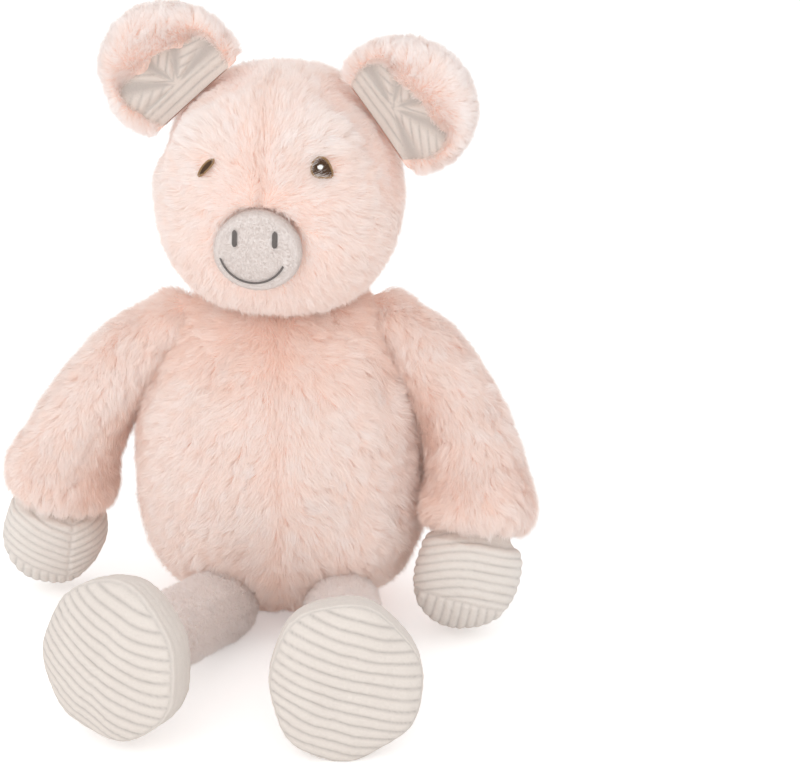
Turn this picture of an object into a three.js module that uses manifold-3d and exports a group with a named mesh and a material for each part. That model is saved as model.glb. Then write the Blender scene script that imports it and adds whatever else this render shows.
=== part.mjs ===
// A sitting plush pig: long-pile fur head, ears, body and sleeves, corduroy hands and feet, velour legs and snout.
// Millimetres, +Z up. The pig faces -Y. Left and right are those of a viewer in front of it, so right is +X.
// The origin is the middle of the flat seat under the body.
import * as THREE from 'three';
import { mergeVertices } from 'three/addons/utils/BufferGeometryUtils.js';
import Module from 'manifold-3d';

const wasm = await Module();
wasm.setup();

// Fits shared by all pieces
const sewnGap = 0.3;          // between pieces that touch
const swingGap = 1.6;         // between a swinging sleeve and the side of the trunk
const restCut = 0.5;          // how deep a form is pressed flat where it rests on the floor
const overrun = 20;           // how far cutters run past what they cut
const weldReach = 0.0001;     // points nearer than this are one point

// Cloth thickness
const furWall = 6;            // long-pile plush, backing and pile
const velourWall = 2.2;
const corduroyWall = 1.8;
const stitchRise = 0.9;       // how far embroidery stands above the cloth

// Body
const bodyHalfWidth = 66;
const bodyHalfDepth = 59;
const bodyWidestHeight = 66;
const bodyTopHeight = 158;
const bodyLowerShare = 2.6;   // fullness exponent under the widest ring
const bodyUpperShare = 2.15;  // fullness exponent above it
const bodyRingShare = 0.6;    // rings from pole to pole for each facet around
const pelletBagHeight = 24;
const neckHoleRadius = 17;
const neckHoleDepth = 29;     // under the top of the body

// Head
const headHalfWidth = 53;
const headHalfDepth = 49.5;
const headHalfHeight = 52.5;
const headRise = 40.5;         // centre of the head above the top of the body
const headForward = 9;
const headYawAngle = -8;      // degrees, towards the viewer's left
const headFullnessShare = 2.15;
const headHoleRadius = 8;     // where the head was stuffed, over the neck

// Snout
const snoutRadius = 18;
const snoutHeightShare = 0.94;
const snoutDrop = 13;         // centre of the disc under the centre of the head
const snoutReach = 57;        // front of the disc from the centre of the head
const snoutDepth = 15;
const snoutCrown = 2.5;       // bulge of the front of the disc
const snoutEdge = 4;          // rounding of its rim
const snoutCrownShares = [0.39, 0.75];  // a ring on the crown: of the radius, and of the crown's height

// Embroidery on the face
const nostrilSpacing = 17;
const nostrilHeight = 7;
const nostrilWidth = 2.4;
const nostrilRise = 6.5;      // above the middle of the snout
const smileRadius = 14.4;
const smileWidth = 1.3;
const smileShift = -1;        // the middle of its arc from the middle of the snout
const smileRise = 1.6;
const smileHalfAngle = 68;    // degrees
const smileTiltAngle = -5;
const eyeSpacing = 49;
const eyes = {
  right: { side: 1, rise: 23 },
  left: { side: -1, rise: 20 },
};
const eyeWidth = 9.5;
const eyeHeight = 7;
const eyeSlantAngle = 18;     // degrees, outer corner down

// Ears
const earRadius = 31;
const earChordOffset = 15;    // from the middle of the ear to its seam on the head
const earDish = 9;            // how far the rim curls in front of the middle
const earThickness = 8;
const earRimWidth = 10;
const earRootRadius = 5.2;
const earPinchShare = 0.42;   // how flat the ear is gathered at its seam
const earPinchReach = 22;
// Outlines of the bowl: [of the radius, of the thickness], then [of the radius, of the dish]
const earBackShares = [[0, -0.6], [0.6, -0.48], [0.9, 0]];
const earRimShares = [[1, 0.55], [0.97, 0.95], [0.88, 1]];
const earLiningEdgeShare = 0.5;         // of the dish
const earSeatShares = [[0.4, 0.25], [0, 0]];
const ears = {
  right: { side: 1, climbAngle: 35, slantAngle: 8, back: 2 },
  left: { side: -1, climbAngle: 47.5, slantAngle: 6, back: 3 },
};

// Arms
const shoulderDrop = 24;       // under the top of the body
const shoulderOut = 1.7;       // middle of the shoulder outside the body's side
const shoulderRadius = 19.5;
const shoulderWadRadius = 9;
const armLength = 102;
const armNeckRadius = 17.5;
const armMiddleRadius = 18.5;
const cuffRadius = 23.5;
const sleeveRingShares = [0.21, 0.47, 0.75, 1];   // of the length to the wrist
const shoulderRootAngle = 30;                     // degrees of the root ball past its middle
// Degrees: how far the sleeve is lifted, swung back and bowed down along its length, and the hand bent in
const arms = {
  right: { side: 1, liftAngle: 51.5, swingAngle: -19, bendAngle: 57, wristAngle: 7 },
  left: { side: -1, liftAngle: 53.5, swingAngle: 6, bendAngle: 40, wristAngle: 6 },
};

// Hands
const wristRadius = 18.4;
const wristInset = 2;         // the hand's seam lies this far inside the cuff
const handRadius = 24;
const handLength = 50;
const handDepthShare = 0.86;
// Outline of the hand: [of the length, of the radius]
const handOutlineShares = [[0.22, 0.93], [0.4, 1], [0.6, 0.98], [0.79, 0.84], [0.92, 0.58], [0.98, 0.3]];
const wristRootAngle = 20;

// Legs
const hipSpacing = 54;
const hipHeight = 17.5;
const hipRadius = 17;
const hipWadRadius = 9;
const legLength = 77;
const legRadius = 15.5;
const ankleRadius = 15;
const legRingShares = [0.3, 0.6, 0.92];           // of the length
const hipRootAngle = 25;
// How far the hip stands in front of the body, then degrees: the leg's turn and rise, and the foot's on the leg
const legs = {
  right: { side: 1, forward: 7.4, yawAngle: 1.5, liftAngle: 10, footYawAngle: 1, footTiltAngle: 6 },
  left: { side: -1, forward: 5.9, yawAngle: -19, liftAngle: 12, footYawAngle: -7, footTiltAngle: 5 },
};

// Feet
const footHalfWidth = 31;
const footHalfHeight = 33.5;
const footDepth = 35;
const footHeelShare = 0.62;
const soleCrown = 5;
const soleRimShare = 0.96;
// Outlines of the foot: [of the width, of the depth], then [of the width, of the crown]
const footSideShares = [[0.88, 0.42], [1, 0.68], [1, 0.86]];
const soleCrownShares = [[0.6, 0.65], [0.3, 0.92]];
const footDishAngle = 62;     // degrees of the ankle ball that the heel wraps

// Tail
const tailHeight = 44;
const tailLength = 30;
const tailRadius = 4.2;
const tailBendAngle = 110;    // degrees along its length
const tailRootRadius = 5;
const tailRiseAngle = 28;     // degrees above level
const tailRootAngle = 30;
// Outline of the tail: [of the length, of the radius]
const tailOutlineShares = [[0.35, 1], [0.7, 0.85], [0.95, 0.6]];

// Facets
const bodyFacets = 20;
const bodyInnerFacets = 14;
const headFacets = 26;
const footFacets = 18;
const limbFacets = 12;
const innerFacets = 8;
const smallFacets = 8;
const edgeSteps = 4;
const roomSteps = 7;

const degrees = Math.PI / 180;
const blockSize = 4 * bodyTopHeight;
const headCentre = new THREE.Vector3(0, -headForward, bodyTopHeight + headRise);
const shoulderHeight = bodyTopHeight - shoulderDrop;

// Solids

function toSolid(geometry) {
  const bare = geometry.clone();
  bare.deleteAttribute('normal');
  bare.deleteAttribute('uv');
  const merged = mergeVertices(bare, weldReach);
  return new wasm.Manifold(new wasm.Mesh({
    numProp: 3,
    vertProperties: new Float32Array(merged.attributes.position.array),
    triVerts: new Uint32Array(merged.index.array),
  }));
}

function toGeometry(solid) {
  const mesh = solid.getMesh();
  const geometry = new THREE.BufferGeometry();
  geometry.setAttribute('position', new THREE.BufferAttribute(new Float32Array(mesh.vertProperties), 3));
  geometry.setIndex(new THREE.BufferAttribute(new Uint32Array(mesh.triVerts), 1));
  geometry.computeVertexNormals();
  return geometry;
}

function cut(base, ...tools) {
  return tools.reduce((left, tool) => left.subtract(tool), base);
}

// A geometry, moved by a matrix, as a solid
function placed(geometry, matrix) {
  return toSolid(geometry.clone().applyMatrix4(matrix));
}

// Forms

// A closed form turned about Z: profile points are [radius, height], from the bottom pole to the top pole.
function turned(profile, facets) {
  const points = profile.map(([radius, height]) => new THREE.Vector2(Math.max(radius, 0), height));
  return new THREE.LatheGeometry(points, facets).rotateX(Math.PI / 2);
}

function ballProfile(radius, steps) {
  return Array.from({ length: steps + 1 }, (_, i) => {
    const angle = Math.PI * (i / steps - 0.5);
    return [i === 0 || i === steps ? 0 : radius * Math.cos(angle), radius * Math.sin(angle)];
  });
}

function ball(radius, facets = limbFacets) {
  return turned(ballProfile(radius, Math.round(facets / 2)), facets);
}

// A hollow whose flattest facets still clear a ball of that radius, however either is turned
function ballRoom(radius, facets = limbFacets) {
  return ball((radius + sewnGap) / Math.cos(Math.PI / facets) ** 2, facets);
}

// A stuffing wad in its room, turned so that its points face the middles of the room's facets
function wad(radius) {
  const half = Math.PI / smallFacets;
  return toSolid(ball(radius, smallFacets).rotateX(Math.PI / 2 - half).rotateZ(half));
}

// The rounded bag of the trunk, smaller by the inset
function bodyForm(inset, facets = bodyFacets) {
  const steps = Math.round(facets * bodyRingShare);
  const width = bodyHalfWidth - inset;
  const profile = [];
  for (let i = 0; i <= steps; i += 1) {
    const angle = Math.PI * (i / steps - 0.5);
    const below = angle < 0;
    const fullness = 2 / (below ? bodyLowerShare : bodyUpperShare);
    const reach = (below ? bodyWidestHeight + restCut : bodyTopHeight - bodyWidestHeight) - inset;
    const onAxis = i === 0 || i === steps;
    const radius = onAxis ? 0 : width * Math.cos(angle) ** fullness;
    const rise = Math.sign(angle) * reach * Math.abs(Math.sin(angle)) ** fullness;
    profile.push([radius, bodyWidestHeight + rise]);
  }
  return turned(profile, facets).scale(1, (bodyHalfDepth - inset) / width, 1);
}

// The head about its own centre, smaller by the inset: round below, fuller towards the crown and cheeks
function headForm(inset, facets = headFacets) {
  const steps = Math.round(facets / 2);
  const profile = ballProfile(1, steps).map(([radius, height]) => {
    const share = height > 0 ? 2 / headFullnessShare : 1;
    return [radius ** share, Math.sign(height) * Math.abs(height) ** share];
  });
  const form = turned(profile, facets);
  return form.scale(headHalfWidth - inset, headHalfDepth - inset, headHalfHeight - inset);
}

// A point on a limb's line, which leaves the root along -Z, bows by a bend in the XZ plane over its length and runs
// on straight past both ends
function bowedLine(along, bend, length) {
  const bowed = THREE.MathUtils.clamp(along, 0, length);
  const straight = along - bowed;
  const curve = bend * degrees / length;
  const angle = curve * bowed;
  const lead = straight > 0 ? angle : 0;
  const level = curve === 0 ? 0 : -(1 - Math.cos(angle)) / curve;
  const down = curve === 0 ? bowed : Math.sin(angle) / curve;
  return { x: level - straight * Math.sin(lead), z: -down - straight * Math.cos(lead), angle };
}

// A limb turned about that line: profile points are [radius, distance along], from the hidden pole to the far end
function limbForm(profile, facets, bend, length) {
  const points = profile.map(([radius, along]) => new THREE.Vector2(Math.max(radius, 0), along));
  const geometry = new THREE.LatheGeometry(points, facets);
  const position = geometry.attributes.position;
  for (let i = 0; i < position.count; i += 1) {
    const { x, z, angle } = bowedLine(position.getY(i), bend, length);
    const across = position.getX(i);
    position.setXYZ(i, x + across * Math.cos(angle), position.getZ(i), z - across * Math.sin(angle));
  }
  return geometry;
}

// The root ball of a limb as profile points, from its hidden pole to a given angle past the equator
function rootProfile(radius, endAngle, steps = 2 + edgeSteps) {
  return Array.from({ length: steps + 1 }, (_, i) => {
    const angle = -90 + (90 + endAngle) * i / steps;
    return [i === 0 ? 0 : radius * Math.cos(angle * degrees), radius * Math.sin(angle * degrees)];
  });
}

// Everything under the floor, in the frame of a group
function floorBlock(group) {
  const block = new THREE.BoxGeometry(blockSize, blockSize, blockSize).translate(0, 0, -blockSize / 2);
  group.updateWorldMatrix(true, false);
  return placed(block, group.matrixWorld.clone().invert());
}

// A block that fills one side of a plane across an axis
function sideBlock(axis, from, direction) {
  const block = new THREE.BoxGeometry(blockSize, blockSize, blockSize);
  const shift = new THREE.Vector3().setComponent(axis, from + direction * blockSize / 2);
  return toSolid(block.translate(shift.x, shift.y, shift.z));
}

// Materials

function cloth(colour, roughness) {
  return new THREE.MeshStandardMaterial({ color: colour, roughness, metalness: 0 });
}

const furColour = 0xf5d8cc;
const corduroyColour = 0xe8e0d7;
const velourColour = 0xe6d9d3;
const fillingColour = 0xf7f6f2;
const threadColour = 0x6b6360;
const eyeColour = 0x4e3a2c;
const pelletColour = 0xd9d4c8;

function piece(name, solid, colour, roughness = 0.95) {
  const mesh = new THREE.Mesh(toGeometry(solid), cloth(colour, roughness));
  mesh.name = name;
  return mesh;
}

// Trunk

// The width of the trunk at a height, as a share of its widest
function trunkShare(height) {
  const above = height > bodyWidestHeight;
  const reach = above ? bodyTopHeight - bodyWidestHeight : bodyWidestHeight + restCut;
  const fullness = above ? bodyUpperShare : bodyLowerShare;
  const share = Math.abs(height - bodyWidestHeight) / reach;
  return Math.max(1 - share ** fullness, 0) ** (1 / fullness);
}

function hipPlace(limb) {
  const share = trunkShare(hipHeight);
  const across = hipSpacing / 2 / (bodyHalfWidth * share);
  const front = bodyHalfDepth * share * Math.sqrt(1 - across ** 2);
  return new THREE.Vector3(limb.side * hipSpacing / 2, -front - limb.forward, hipHeight);
}

function shoulderPlace(limb) {
  const side = bodyHalfWidth * trunkShare(shoulderHeight) + shoulderOut;
  return new THREE.Vector3(limb.side * side, 0, shoulderHeight);
}

function socket(place, radius) {
  return placed(ballRoom(radius), new THREE.Matrix4().setPosition(place));
}

// What the limbs, the head and the tail take out of the trunk
function trunkSockets() {
  const sockets = [
    ...Object.values(arms).map((limb) => socket(shoulderPlace(limb), shoulderRadius)),
    ...Object.values(legs).map((limb) => socket(hipPlace(limb), hipRadius)),
    socket(tailPlace(), tailRootRadius),
  ];
  const half = Math.PI / headFacets;
  const headRoom = ballRoom(headHalfHeight, headFacets).rotateZ(half).rotateX(half);
  sockets.push(toSolid(headRoom.translate(...headCentre)));
  return sockets;
}

function neckPlug(radius, from, to) {
  const plug = turned([[0, from], [radius, from], [radius, to], [0, to]], limbFacets);
  return placed(plug, new THREE.Matrix4().setPosition(0, headCentre.y, 0));
}

function tailPlace() {
  return new THREE.Vector3(0, bodyHalfDepth * trunkShare(tailHeight), tailHeight);
}

function buildTrunk(pig) {
  const sockets = trunkSockets();
  const neckFloor = bodyTopHeight - neckHoleDepth;
  const neckRoom = neckHoleRadius / Math.cos(Math.PI / limbFacets);
  const neckHole = neckPlug(neckRoom, neckFloor, bodyTopHeight + overrun);
  const inner = toSolid(bodyForm(furWall, bodyInnerFacets));
  const cover = cut(toSolid(bodyForm(0)), inner, ...sockets, neckHole, floorBlock(pig));
  pig.add(piece('body_cover', cover, furColour));

  const stuffed = toSolid(bodyForm(furWall + sewnGap, bodyInnerFacets));
  const aboveBag = sideBlock(2, pelletBagHeight, 1);
  pig.add(piece('pellet_bag', cut(stuffed, aboveBag, ...sockets), pelletColour));
  const belowFilling = sideBlock(2, pelletBagHeight + sewnGap, -1);
  pig.add(piece('body_filling', cut(stuffed, belowFilling, ...sockets, neckHole), fillingColour));

  const headRoom = sockets[sockets.length - 1];
  const neck = neckPlug(neckHoleRadius - sewnGap, neckFloor + sewnGap, bodyTopHeight);
  pig.add(piece('neck_filling', cut(neck, headRoom), fillingColour));
}

// Head

function snoutForm(inset, depth) {
  const radius = snoutRadius - inset;
  const back = snoutReach - depth;
  const front = snoutReach - inset;
  const rim = front - snoutCrown - snoutEdge;
  const flat = radius - snoutEdge;
  const profile = [[0, back], [radius - snoutEdge / 2, back], [radius, rim]];
  for (let i = 1; i <= edgeSteps; i += 1) {
    const angle = Math.PI / 2 * i / edgeSteps;
    profile.push([flat + snoutEdge * Math.cos(angle), rim + snoutEdge * Math.sin(angle)]);
  }
  const [ringShare, riseShare] = snoutCrownShares;
  profile.push([radius * ringShare, front - snoutCrown * (1 - riseShare)], [0, front]);
  const form = turned(profile, limbFacets).scale(1, snoutHeightShare, 1);
  return form.rotateX(Math.PI / 2).translate(0, 0, -snoutDrop);
}

// A flat outline pushed through the front of the face
function facePrism(shape, depth) {
  const prism = new THREE.ExtrudeGeometry(shape, { depth, bevelEnabled: false, curveSegments: smallFacets });
  return prism.rotateX(Math.PI / 2);
}

function nostrilShape() {
  const half = nostrilWidth / 2;
  const straight = nostrilHeight / 2 - half;
  const shape = new THREE.Shape();
  shape.absarc(0, straight, half, 0, Math.PI);
  shape.absarc(0, -straight, half, Math.PI, 2 * Math.PI);
  return shape;
}

function smileShape() {
  const start = -Math.PI / 2 - smileHalfAngle * degrees;
  const end = -Math.PI / 2 + smileHalfAngle * degrees;
  const shape = new THREE.Shape();
  shape.absarc(0, 0, smileRadius + smileWidth / 2, start, end, false);
  shape.absarc(0, 0, smileRadius - smileWidth / 2, end, start, true);
  return shape;
}

function eyeShape() {
  const shape = new THREE.Shape();
  shape.absellipse(0, 0, eyeWidth / 2, eyeHeight / 2, 0, 2 * Math.PI, false, 0);
  return shape;
}

// Embroidery: the part of a prism that lies just above a cloth form
function stitched(prism, form) {
  return prism.intersect(toSolid(form(-stitchRise))).subtract(toSolid(form(-sewnGap)));
}

function buildHead(pig) {
  const head = new THREE.Group();
  head.position.copy(headCentre);
  head.rotation.z = headYawAngle * degrees;
  pig.add(head);
  head.updateWorldMatrix(true, false);

  const snoutOuter = toSolid(snoutForm(0, snoutDepth));
  const snoutSeat = toSolid(snoutForm(-sewnGap, snoutDepth + sewnGap));
  const grooveRadius = (earRootRadius + sewnGap) / Math.cos(Math.PI / smallFacets);
  const grooves = Object.values(ears).map((ear) => placed(earRoot(grooveRadius, sewnGap), earMatrix(ear)));
  const inner = toSolid(headForm(furWall, bodyInnerFacets));
  const opening = placed(
    turned([[0, 0], [headHoleRadius, 0], [headHoleRadius, overrun], [0, overrun]], smallFacets),
    new THREE.Matrix4().setPosition(0, 0, -headHalfHeight - overrun / 2),
  );
  head.add(piece('head_cover', cut(toSolid(headForm(0)), inner, snoutSeat, opening, ...grooves), furColour));

  const stuffed = toSolid(headForm(furWall + sewnGap, bodyInnerFacets));
  head.add(piece('head_filling', cut(stuffed, snoutSeat), fillingColour));

  const hollow = toSolid(snoutForm(velourWall, snoutDepth + overrun));
  head.add(piece('snout_cover', snoutOuter.subtract(hollow), velourColour));
  head.add(piece('snout_pad', toSolid(snoutForm(velourWall + sewnGap, snoutDepth)), fillingColour));

  const onSnout = (shape, x, z, tilt = 0) => placed(
    facePrism(shape, 2 * overrun),
    new THREE.Matrix4().makeRotationY(tilt * degrees).setPosition(x, overrun / 2 - snoutReach, z - snoutDrop),
  );
  const snoutFace = (inset) => snoutForm(inset, snoutDepth);
  for (const [label, side] of [['right', 1], ['left', -1]]) {
    const prism = onSnout(nostrilShape(), side * nostrilSpacing / 2, nostrilRise);
    head.add(piece(`nostril_${label}`, stitched(prism, snoutFace), threadColour));
  }
  const smile = onSnout(smileShape(), smileShift, smileRise, smileTiltAngle);
  head.add(piece('mouth_line', stitched(smile, snoutFace), threadColour));

  for (const [label, eye] of Object.entries(eyes)) {
    const matrix = new THREE.Matrix4().makeRotationY(eye.side * eyeSlantAngle * degrees);
    matrix.setPosition(eye.side * eyeSpacing / 2, 0, eye.rise);
    const prism = placed(facePrism(eyeShape(), 2 * headHalfDepth), matrix);
    head.add(piece(`eye_${label}`, stitched(prism, headForm), eyeColour));
  }
  for (const [label, ear] of Object.entries(ears)) {
    buildEar(head, label, ear);
  }
}

// Ears: a shallow bowl of fur, facing forward, with a corduroy lining

// The frame of an ear on the head: X along the seam, Z out from the head, -Y the face of the ear
function earMatrix(ear) {
  const climb = ear.climbAngle * degrees;
  const out = new THREE.Vector3(ear.side * Math.cos(climb), 0, Math.sin(climb));
  const reach = 1 / Math.hypot(Math.cos(climb) / headHalfWidth, Math.sin(climb) / headHalfHeight);
  const place = out.clone().multiplyScalar(reach + sewnGap).setY(ear.back);
  const turn = new THREE.Quaternion().setFromUnitVectors(new THREE.Vector3(0, 0, 1), out);
  const slant = new THREE.Quaternion().setFromAxisAngle(new THREE.Vector3(1, 0, 0), ear.slantAngle * degrees);
  return new THREE.Matrix4().compose(place, turn.multiply(slant), new THREE.Vector3(1, 1, 1));
}

function earRoot(radius, extra) {
  const half = Math.sqrt(earRadius ** 2 - earChordOffset ** 2) - radius / 2 + extra;
  return new THREE.CylinderGeometry(radius, radius, 2 * half, smallFacets).rotateZ(Math.PI / 2);
}

// Gathers a bowl flat towards the seam
function pinched(geometry) {
  const position = geometry.attributes.position;
  for (let i = 0; i < position.count; i += 1) {
    const rise = THREE.MathUtils.smoothstep(position.getZ(i), 0, earPinchReach);
    position.setY(i, position.getY(i) * (earPinchShare + (1 - earPinchShare) * rise));
  }
  return geometry;
}

// A bowl about the ear's middle whose wall runs between two radii; its face is -Y
function earBowl(profile) {
  return pinched(turned(profile, bodyFacets).rotateX(Math.PI / 2).translate(0, 0, earChordOffset));
}

function buildEar(head, label, ear) {
  const group = new THREE.Group();
  earMatrix(ear).decompose(group.position, group.quaternion, group.scale);
  head.add(group);

  const scaled = (shares, height) => shares.map(([across, along]) => [earRadius * across, height * along]);
  const liningEdge = [earRadius - earRimWidth, earDish * earLiningEdgeShare];
  const seat = scaled(earSeatShares, earThickness);
  const back = scaled(earBackShares, earThickness);
  const base = sideBlock(2, 0, -1);
  const rim = scaled(earRimShares, earDish);
  const bowl = toSolid(earBowl([...back, ...rim, liningEdge, ...seat])).subtract(base);
  const root = toSolid(earRoot(earRootRadius, 0));
  group.add(piece(`ear_outer_${label}`, bowl.add(root), furColour));

  const under = [...seat.reverse(), [liningEdge[0] - sewnGap, liningEdge[1]]];
  const raised = (by) => under.map(([radius, height]) => [radius, height + by]);
  const panel = toSolid(earBowl([...raised(sewnGap), ...raised(sewnGap + corduroyWall).reverse()]));
  const belowLining = sideBlock(2, earRootRadius, -1);
  group.add(piece(`ear_lining_${label}`, cut(panel, belowLining), corduroyColour));
}

// Arms

function sleeveProfile(inset, past) {
  const profile = rootProfile(shoulderRadius - inset, shoulderRootAngle);
  const wrist = armLength - wristInset;
  const radii = [armNeckRadius, armMiddleRadius, (armMiddleRadius + cuffRadius) / 2, cuffRadius];
  radii.forEach((radius, i) => profile.push([radius - inset, wrist * sleeveRingShares[i]]));
  if (past > 0) {
    profile.push([cuffRadius - inset, wrist + past]);
  }
  profile.push([0, wrist + past]);
  return profile;
}

// The room that the trunk needs beside a swinging arm: its side at each distance under the shoulder, turned about X
function swingRoom(side) {
  const points = [[0, 0], [shoulderHeight, 0]];
  for (let i = roomSteps; i >= 0; i -= 1) {
    const drop = shoulderHeight * i / roomSteps;
    points.push([drop, bodyHalfWidth * trunkShare(shoulderHeight - drop) + swingGap]);
  }
  return turned(points, limbFacets).rotateY(side * Math.PI / 2).translate(0, 0, shoulderHeight);
}

function handProfile(inset) {
  const profile = rootProfile(wristRadius - inset, wristRootAngle, edgeSteps);
  const reach = handLength - inset;
  const radius = handRadius - inset;
  handOutlineShares.forEach(([along, across]) => profile.push([radius * across, reach * along]));
  profile.push([0, reach]);
  return profile;
}

function buildArm(pig, label, limb) {
  const shoulder = new THREE.Group();
  shoulder.position.copy(shoulderPlace(limb));
  const swing = new THREE.Quaternion().setFromAxisAngle(new THREE.Vector3(1, 0, 0), limb.swingAngle * degrees);
  const outwards = new THREE.Vector3(0, -limb.side, 0);
  const lift = new THREE.Quaternion().setFromAxisAngle(outwards, limb.liftAngle * degrees);
  shoulder.quaternion.copy(swing.multiply(lift));
  pig.add(shoulder);
  shoulder.updateWorldMatrix(true, false);

  const bend = limb.side * limb.bendAngle;
  const seam = bowedLine(armLength - wristInset, bend, armLength);
  const wrist = new THREE.Group();
  wrist.position.set(seam.x, 0, seam.z);
  wrist.rotation.y = seam.angle + limb.side * limb.wristAngle * degrees;
  shoulder.add(wrist);
  wrist.updateMatrix();
  wrist.updateWorldMatrix(true, false);

  const socketRoom = toSolid(ball(shoulderRadius));
  const wholeRoom = placed(swingRoom(limb.side), shoulder.matrixWorld.clone().invert());
  const room = wholeRoom.subtract(socketRoom);
  const armhole = sideBlock(2, shoulderWadRadius, 1);
  const flare = turned(
    [[0, 0], [wristRadius, 0], [cuffRadius - furWall / 3, -2 * wristInset], [0, -2 * wristInset]].reverse(),
    limbFacets,
  );
  const wristBall = ballRoom(wristRadius).rotateZ(Math.PI / limbFacets);
  const wristRoom = placed(wristBall, wrist.matrix).add(placed(flare, wrist.matrix));
  const outer = toSolid(limbForm(sleeveProfile(0, wristInset), limbFacets, bend, armLength));
  const hollowProfile = sleeveProfile(furWall, wristInset + overrun);
  const hollow = toSolid(limbForm(hollowProfile, innerFacets, bend, armLength));
  const wadRoom = toSolid(ballRoom(shoulderWadRadius, smallFacets));
  shoulder.add(piece(`arm_cover_${label}`, cut(outer, hollow, armhole, room, wristRoom), furColour));
  const stuffing = toSolid(limbForm(sleeveProfile(furWall + sewnGap, 0), innerFacets, bend, armLength));
  const filling = cut(stuffing, sideBlock(2, -shoulderWadRadius / 2, 1), wholeRoom, wristRoom, wadRoom);
  shoulder.add(piece(`arm_filling_${label}`, filling, fillingColour));
  shoulder.add(piece(`shoulder_filling_${label}`, wad(shoulderWadRadius), fillingColour));

  const flat = (profile, facets) => limbForm(profile, facets, 0, handLength).scale(1, handDepthShare, 1);
  const opening = sideBlock(2, wristRadius / 2, 1);
  const mitt = toSolid(flat(handProfile(0), limbFacets));
  const palm = toSolid(flat(handProfile(corduroyWall), innerFacets));
  const floor = floorBlock(wrist);
  wrist.add(piece(`hand_cover_${label}`, cut(mitt, palm, opening, floor), corduroyColour));
  const wool = toSolid(flat(handProfile(corduroyWall + sewnGap), innerFacets));
  wrist.add(piece(`hand_filling_${label}`, cut(wool, opening), fillingColour));
}

// Legs

function legProfile(inset) {
  const profile = rootProfile(hipRadius - inset, hipRootAngle);
  [legRadius, legRadius, ankleRadius].forEach((radius, i) => {
    profile.push([radius - inset, legLength * legRingShares[i]]);
  });
  const ankle = ankleRadius - inset;
  for (let i = 0; i <= edgeSteps; i += 1) {
    const angle = Math.PI / 2 * i / edgeSteps;
    profile.push([i === edgeSteps ? 0 : ankle * Math.cos(angle), legLength + ankle * Math.sin(angle)]);
  }
  return profile;
}

// The foot along -Z from the ankle: heel, side band, rim and the crown of the sole
function footProfile(inset) {
  const dish = ankleRadius * Math.cos(footDishAngle * degrees);
  const width = footHalfWidth - inset;
  const crown = footDepth + soleCrown - inset;
  return [
    [0, dish / 2 + inset],
    [width * footHeelShare, dish + inset],
    ...footSideShares.map(([across, along]) => [width * across, footDepth * along]),
    [width * soleRimShare, footDepth - inset / 2],
    ...soleCrownShares.map(([across, along]) => [width * across, footDepth - inset + soleCrown * along]),
    [0, crown],
  ];
}

function footForm(inset, facets) {
  const tall = (footHalfHeight - inset) / (footHalfWidth - inset);
  return limbForm(footProfile(inset), facets, 0, footDepth).scale(1, tall, 1);
}

function buildLeg(pig, label, limb) {
  const hip = new THREE.Group();
  hip.position.copy(hipPlace(limb));
  hip.rotation.order = 'ZXY';
  hip.rotation.set((-90 - limb.liftAngle) * degrees, 0, limb.yawAngle * degrees);
  pig.add(hip);
  hip.updateWorldMatrix(true, false);
  const ankle = new THREE.Group();
  ankle.position.set(0, 0, -legLength);
  ankle.rotation.set(limb.footTiltAngle * degrees, -limb.footYawAngle * degrees, 0);
  hip.add(ankle);
  ankle.updateMatrix();
  ankle.updateWorldMatrix(true, false);

  const wadRoom = toSolid(ballRoom(hipWadRadius, smallFacets));
  const outer = toSolid(limbForm(legProfile(0), limbFacets, 0, legLength));
  const hollow = toSolid(limbForm(legProfile(velourWall), innerFacets, 0, legLength));
  const opening = sideBlock(2, hipWadRadius, 1);
  const floor = floorBlock(hip);
  hip.add(piece(`leg_cover_${label}`, cut(outer, hollow, opening, floor), velourColour));
  const stuffing = toSolid(limbForm(legProfile(velourWall + sewnGap), innerFacets, 0, legLength));
  hip.add(piece(`leg_filling_${label}`, cut(stuffing, opening, wadRoom), fillingColour));
  hip.add(piece(`hip_filling_${label}`, wad(hipWadRadius), fillingColour));

  const ankleRoom = toSolid(ballRoom(ankleRadius));
  const ground = floorBlock(ankle);
  const foot = toSolid(footForm(0, footFacets));
  const inside = toSolid(footForm(corduroyWall, limbFacets));
  const soleSide = sideBlock(2, -footDepth, -1);
  const heelSide = sideBlock(2, -footDepth - sewnGap, 1);
  const gusset = cut(foot, inside, soleSide, ankleRoom, ground);
  ankle.add(piece(`foot_gusset_${label}`, gusset, corduroyColour));
  ankle.add(piece(`foot_sole_${label}`, cut(foot, inside, heelSide, ground), corduroyColour));
  const wool = toSolid(footForm(corduroyWall + sewnGap, limbFacets));
  ankle.add(piece(`foot_filling_${label}`, cut(wool, ankleRoom), fillingColour));
}

// Tail

function buildTail(pig) {
  const group = new THREE.Group();
  group.position.copy(tailPlace());
  group.rotation.x = (90 + tailRiseAngle) * degrees;
  pig.add(group);
  const profile = rootProfile(tailRootRadius, tailRootAngle, edgeSteps);
  tailOutlineShares.forEach(([along, across]) => profile.push([tailRadius * across, tailLength * along]));
  profile.push([0, tailLength]);
  group.add(piece('tail', toSolid(limbForm(profile, smallFacets, tailBendAngle, tailLength)), velourColour));
}

const pig = new THREE.Group();
buildTrunk(pig);
buildHead(pig);
Object.entries(arms).forEach(([label, limb]) => buildArm(pig, label, limb));
Object.entries(legs).forEach(([label, limb]) => buildLeg(pig, label, limb));
buildTail(pig);
pig.updateMatrixWorld(true);

export default pig;
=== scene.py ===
import math

import bpy
import numpy as np
from mathutils import Matrix, Quaternion, Vector, kdtree


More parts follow.
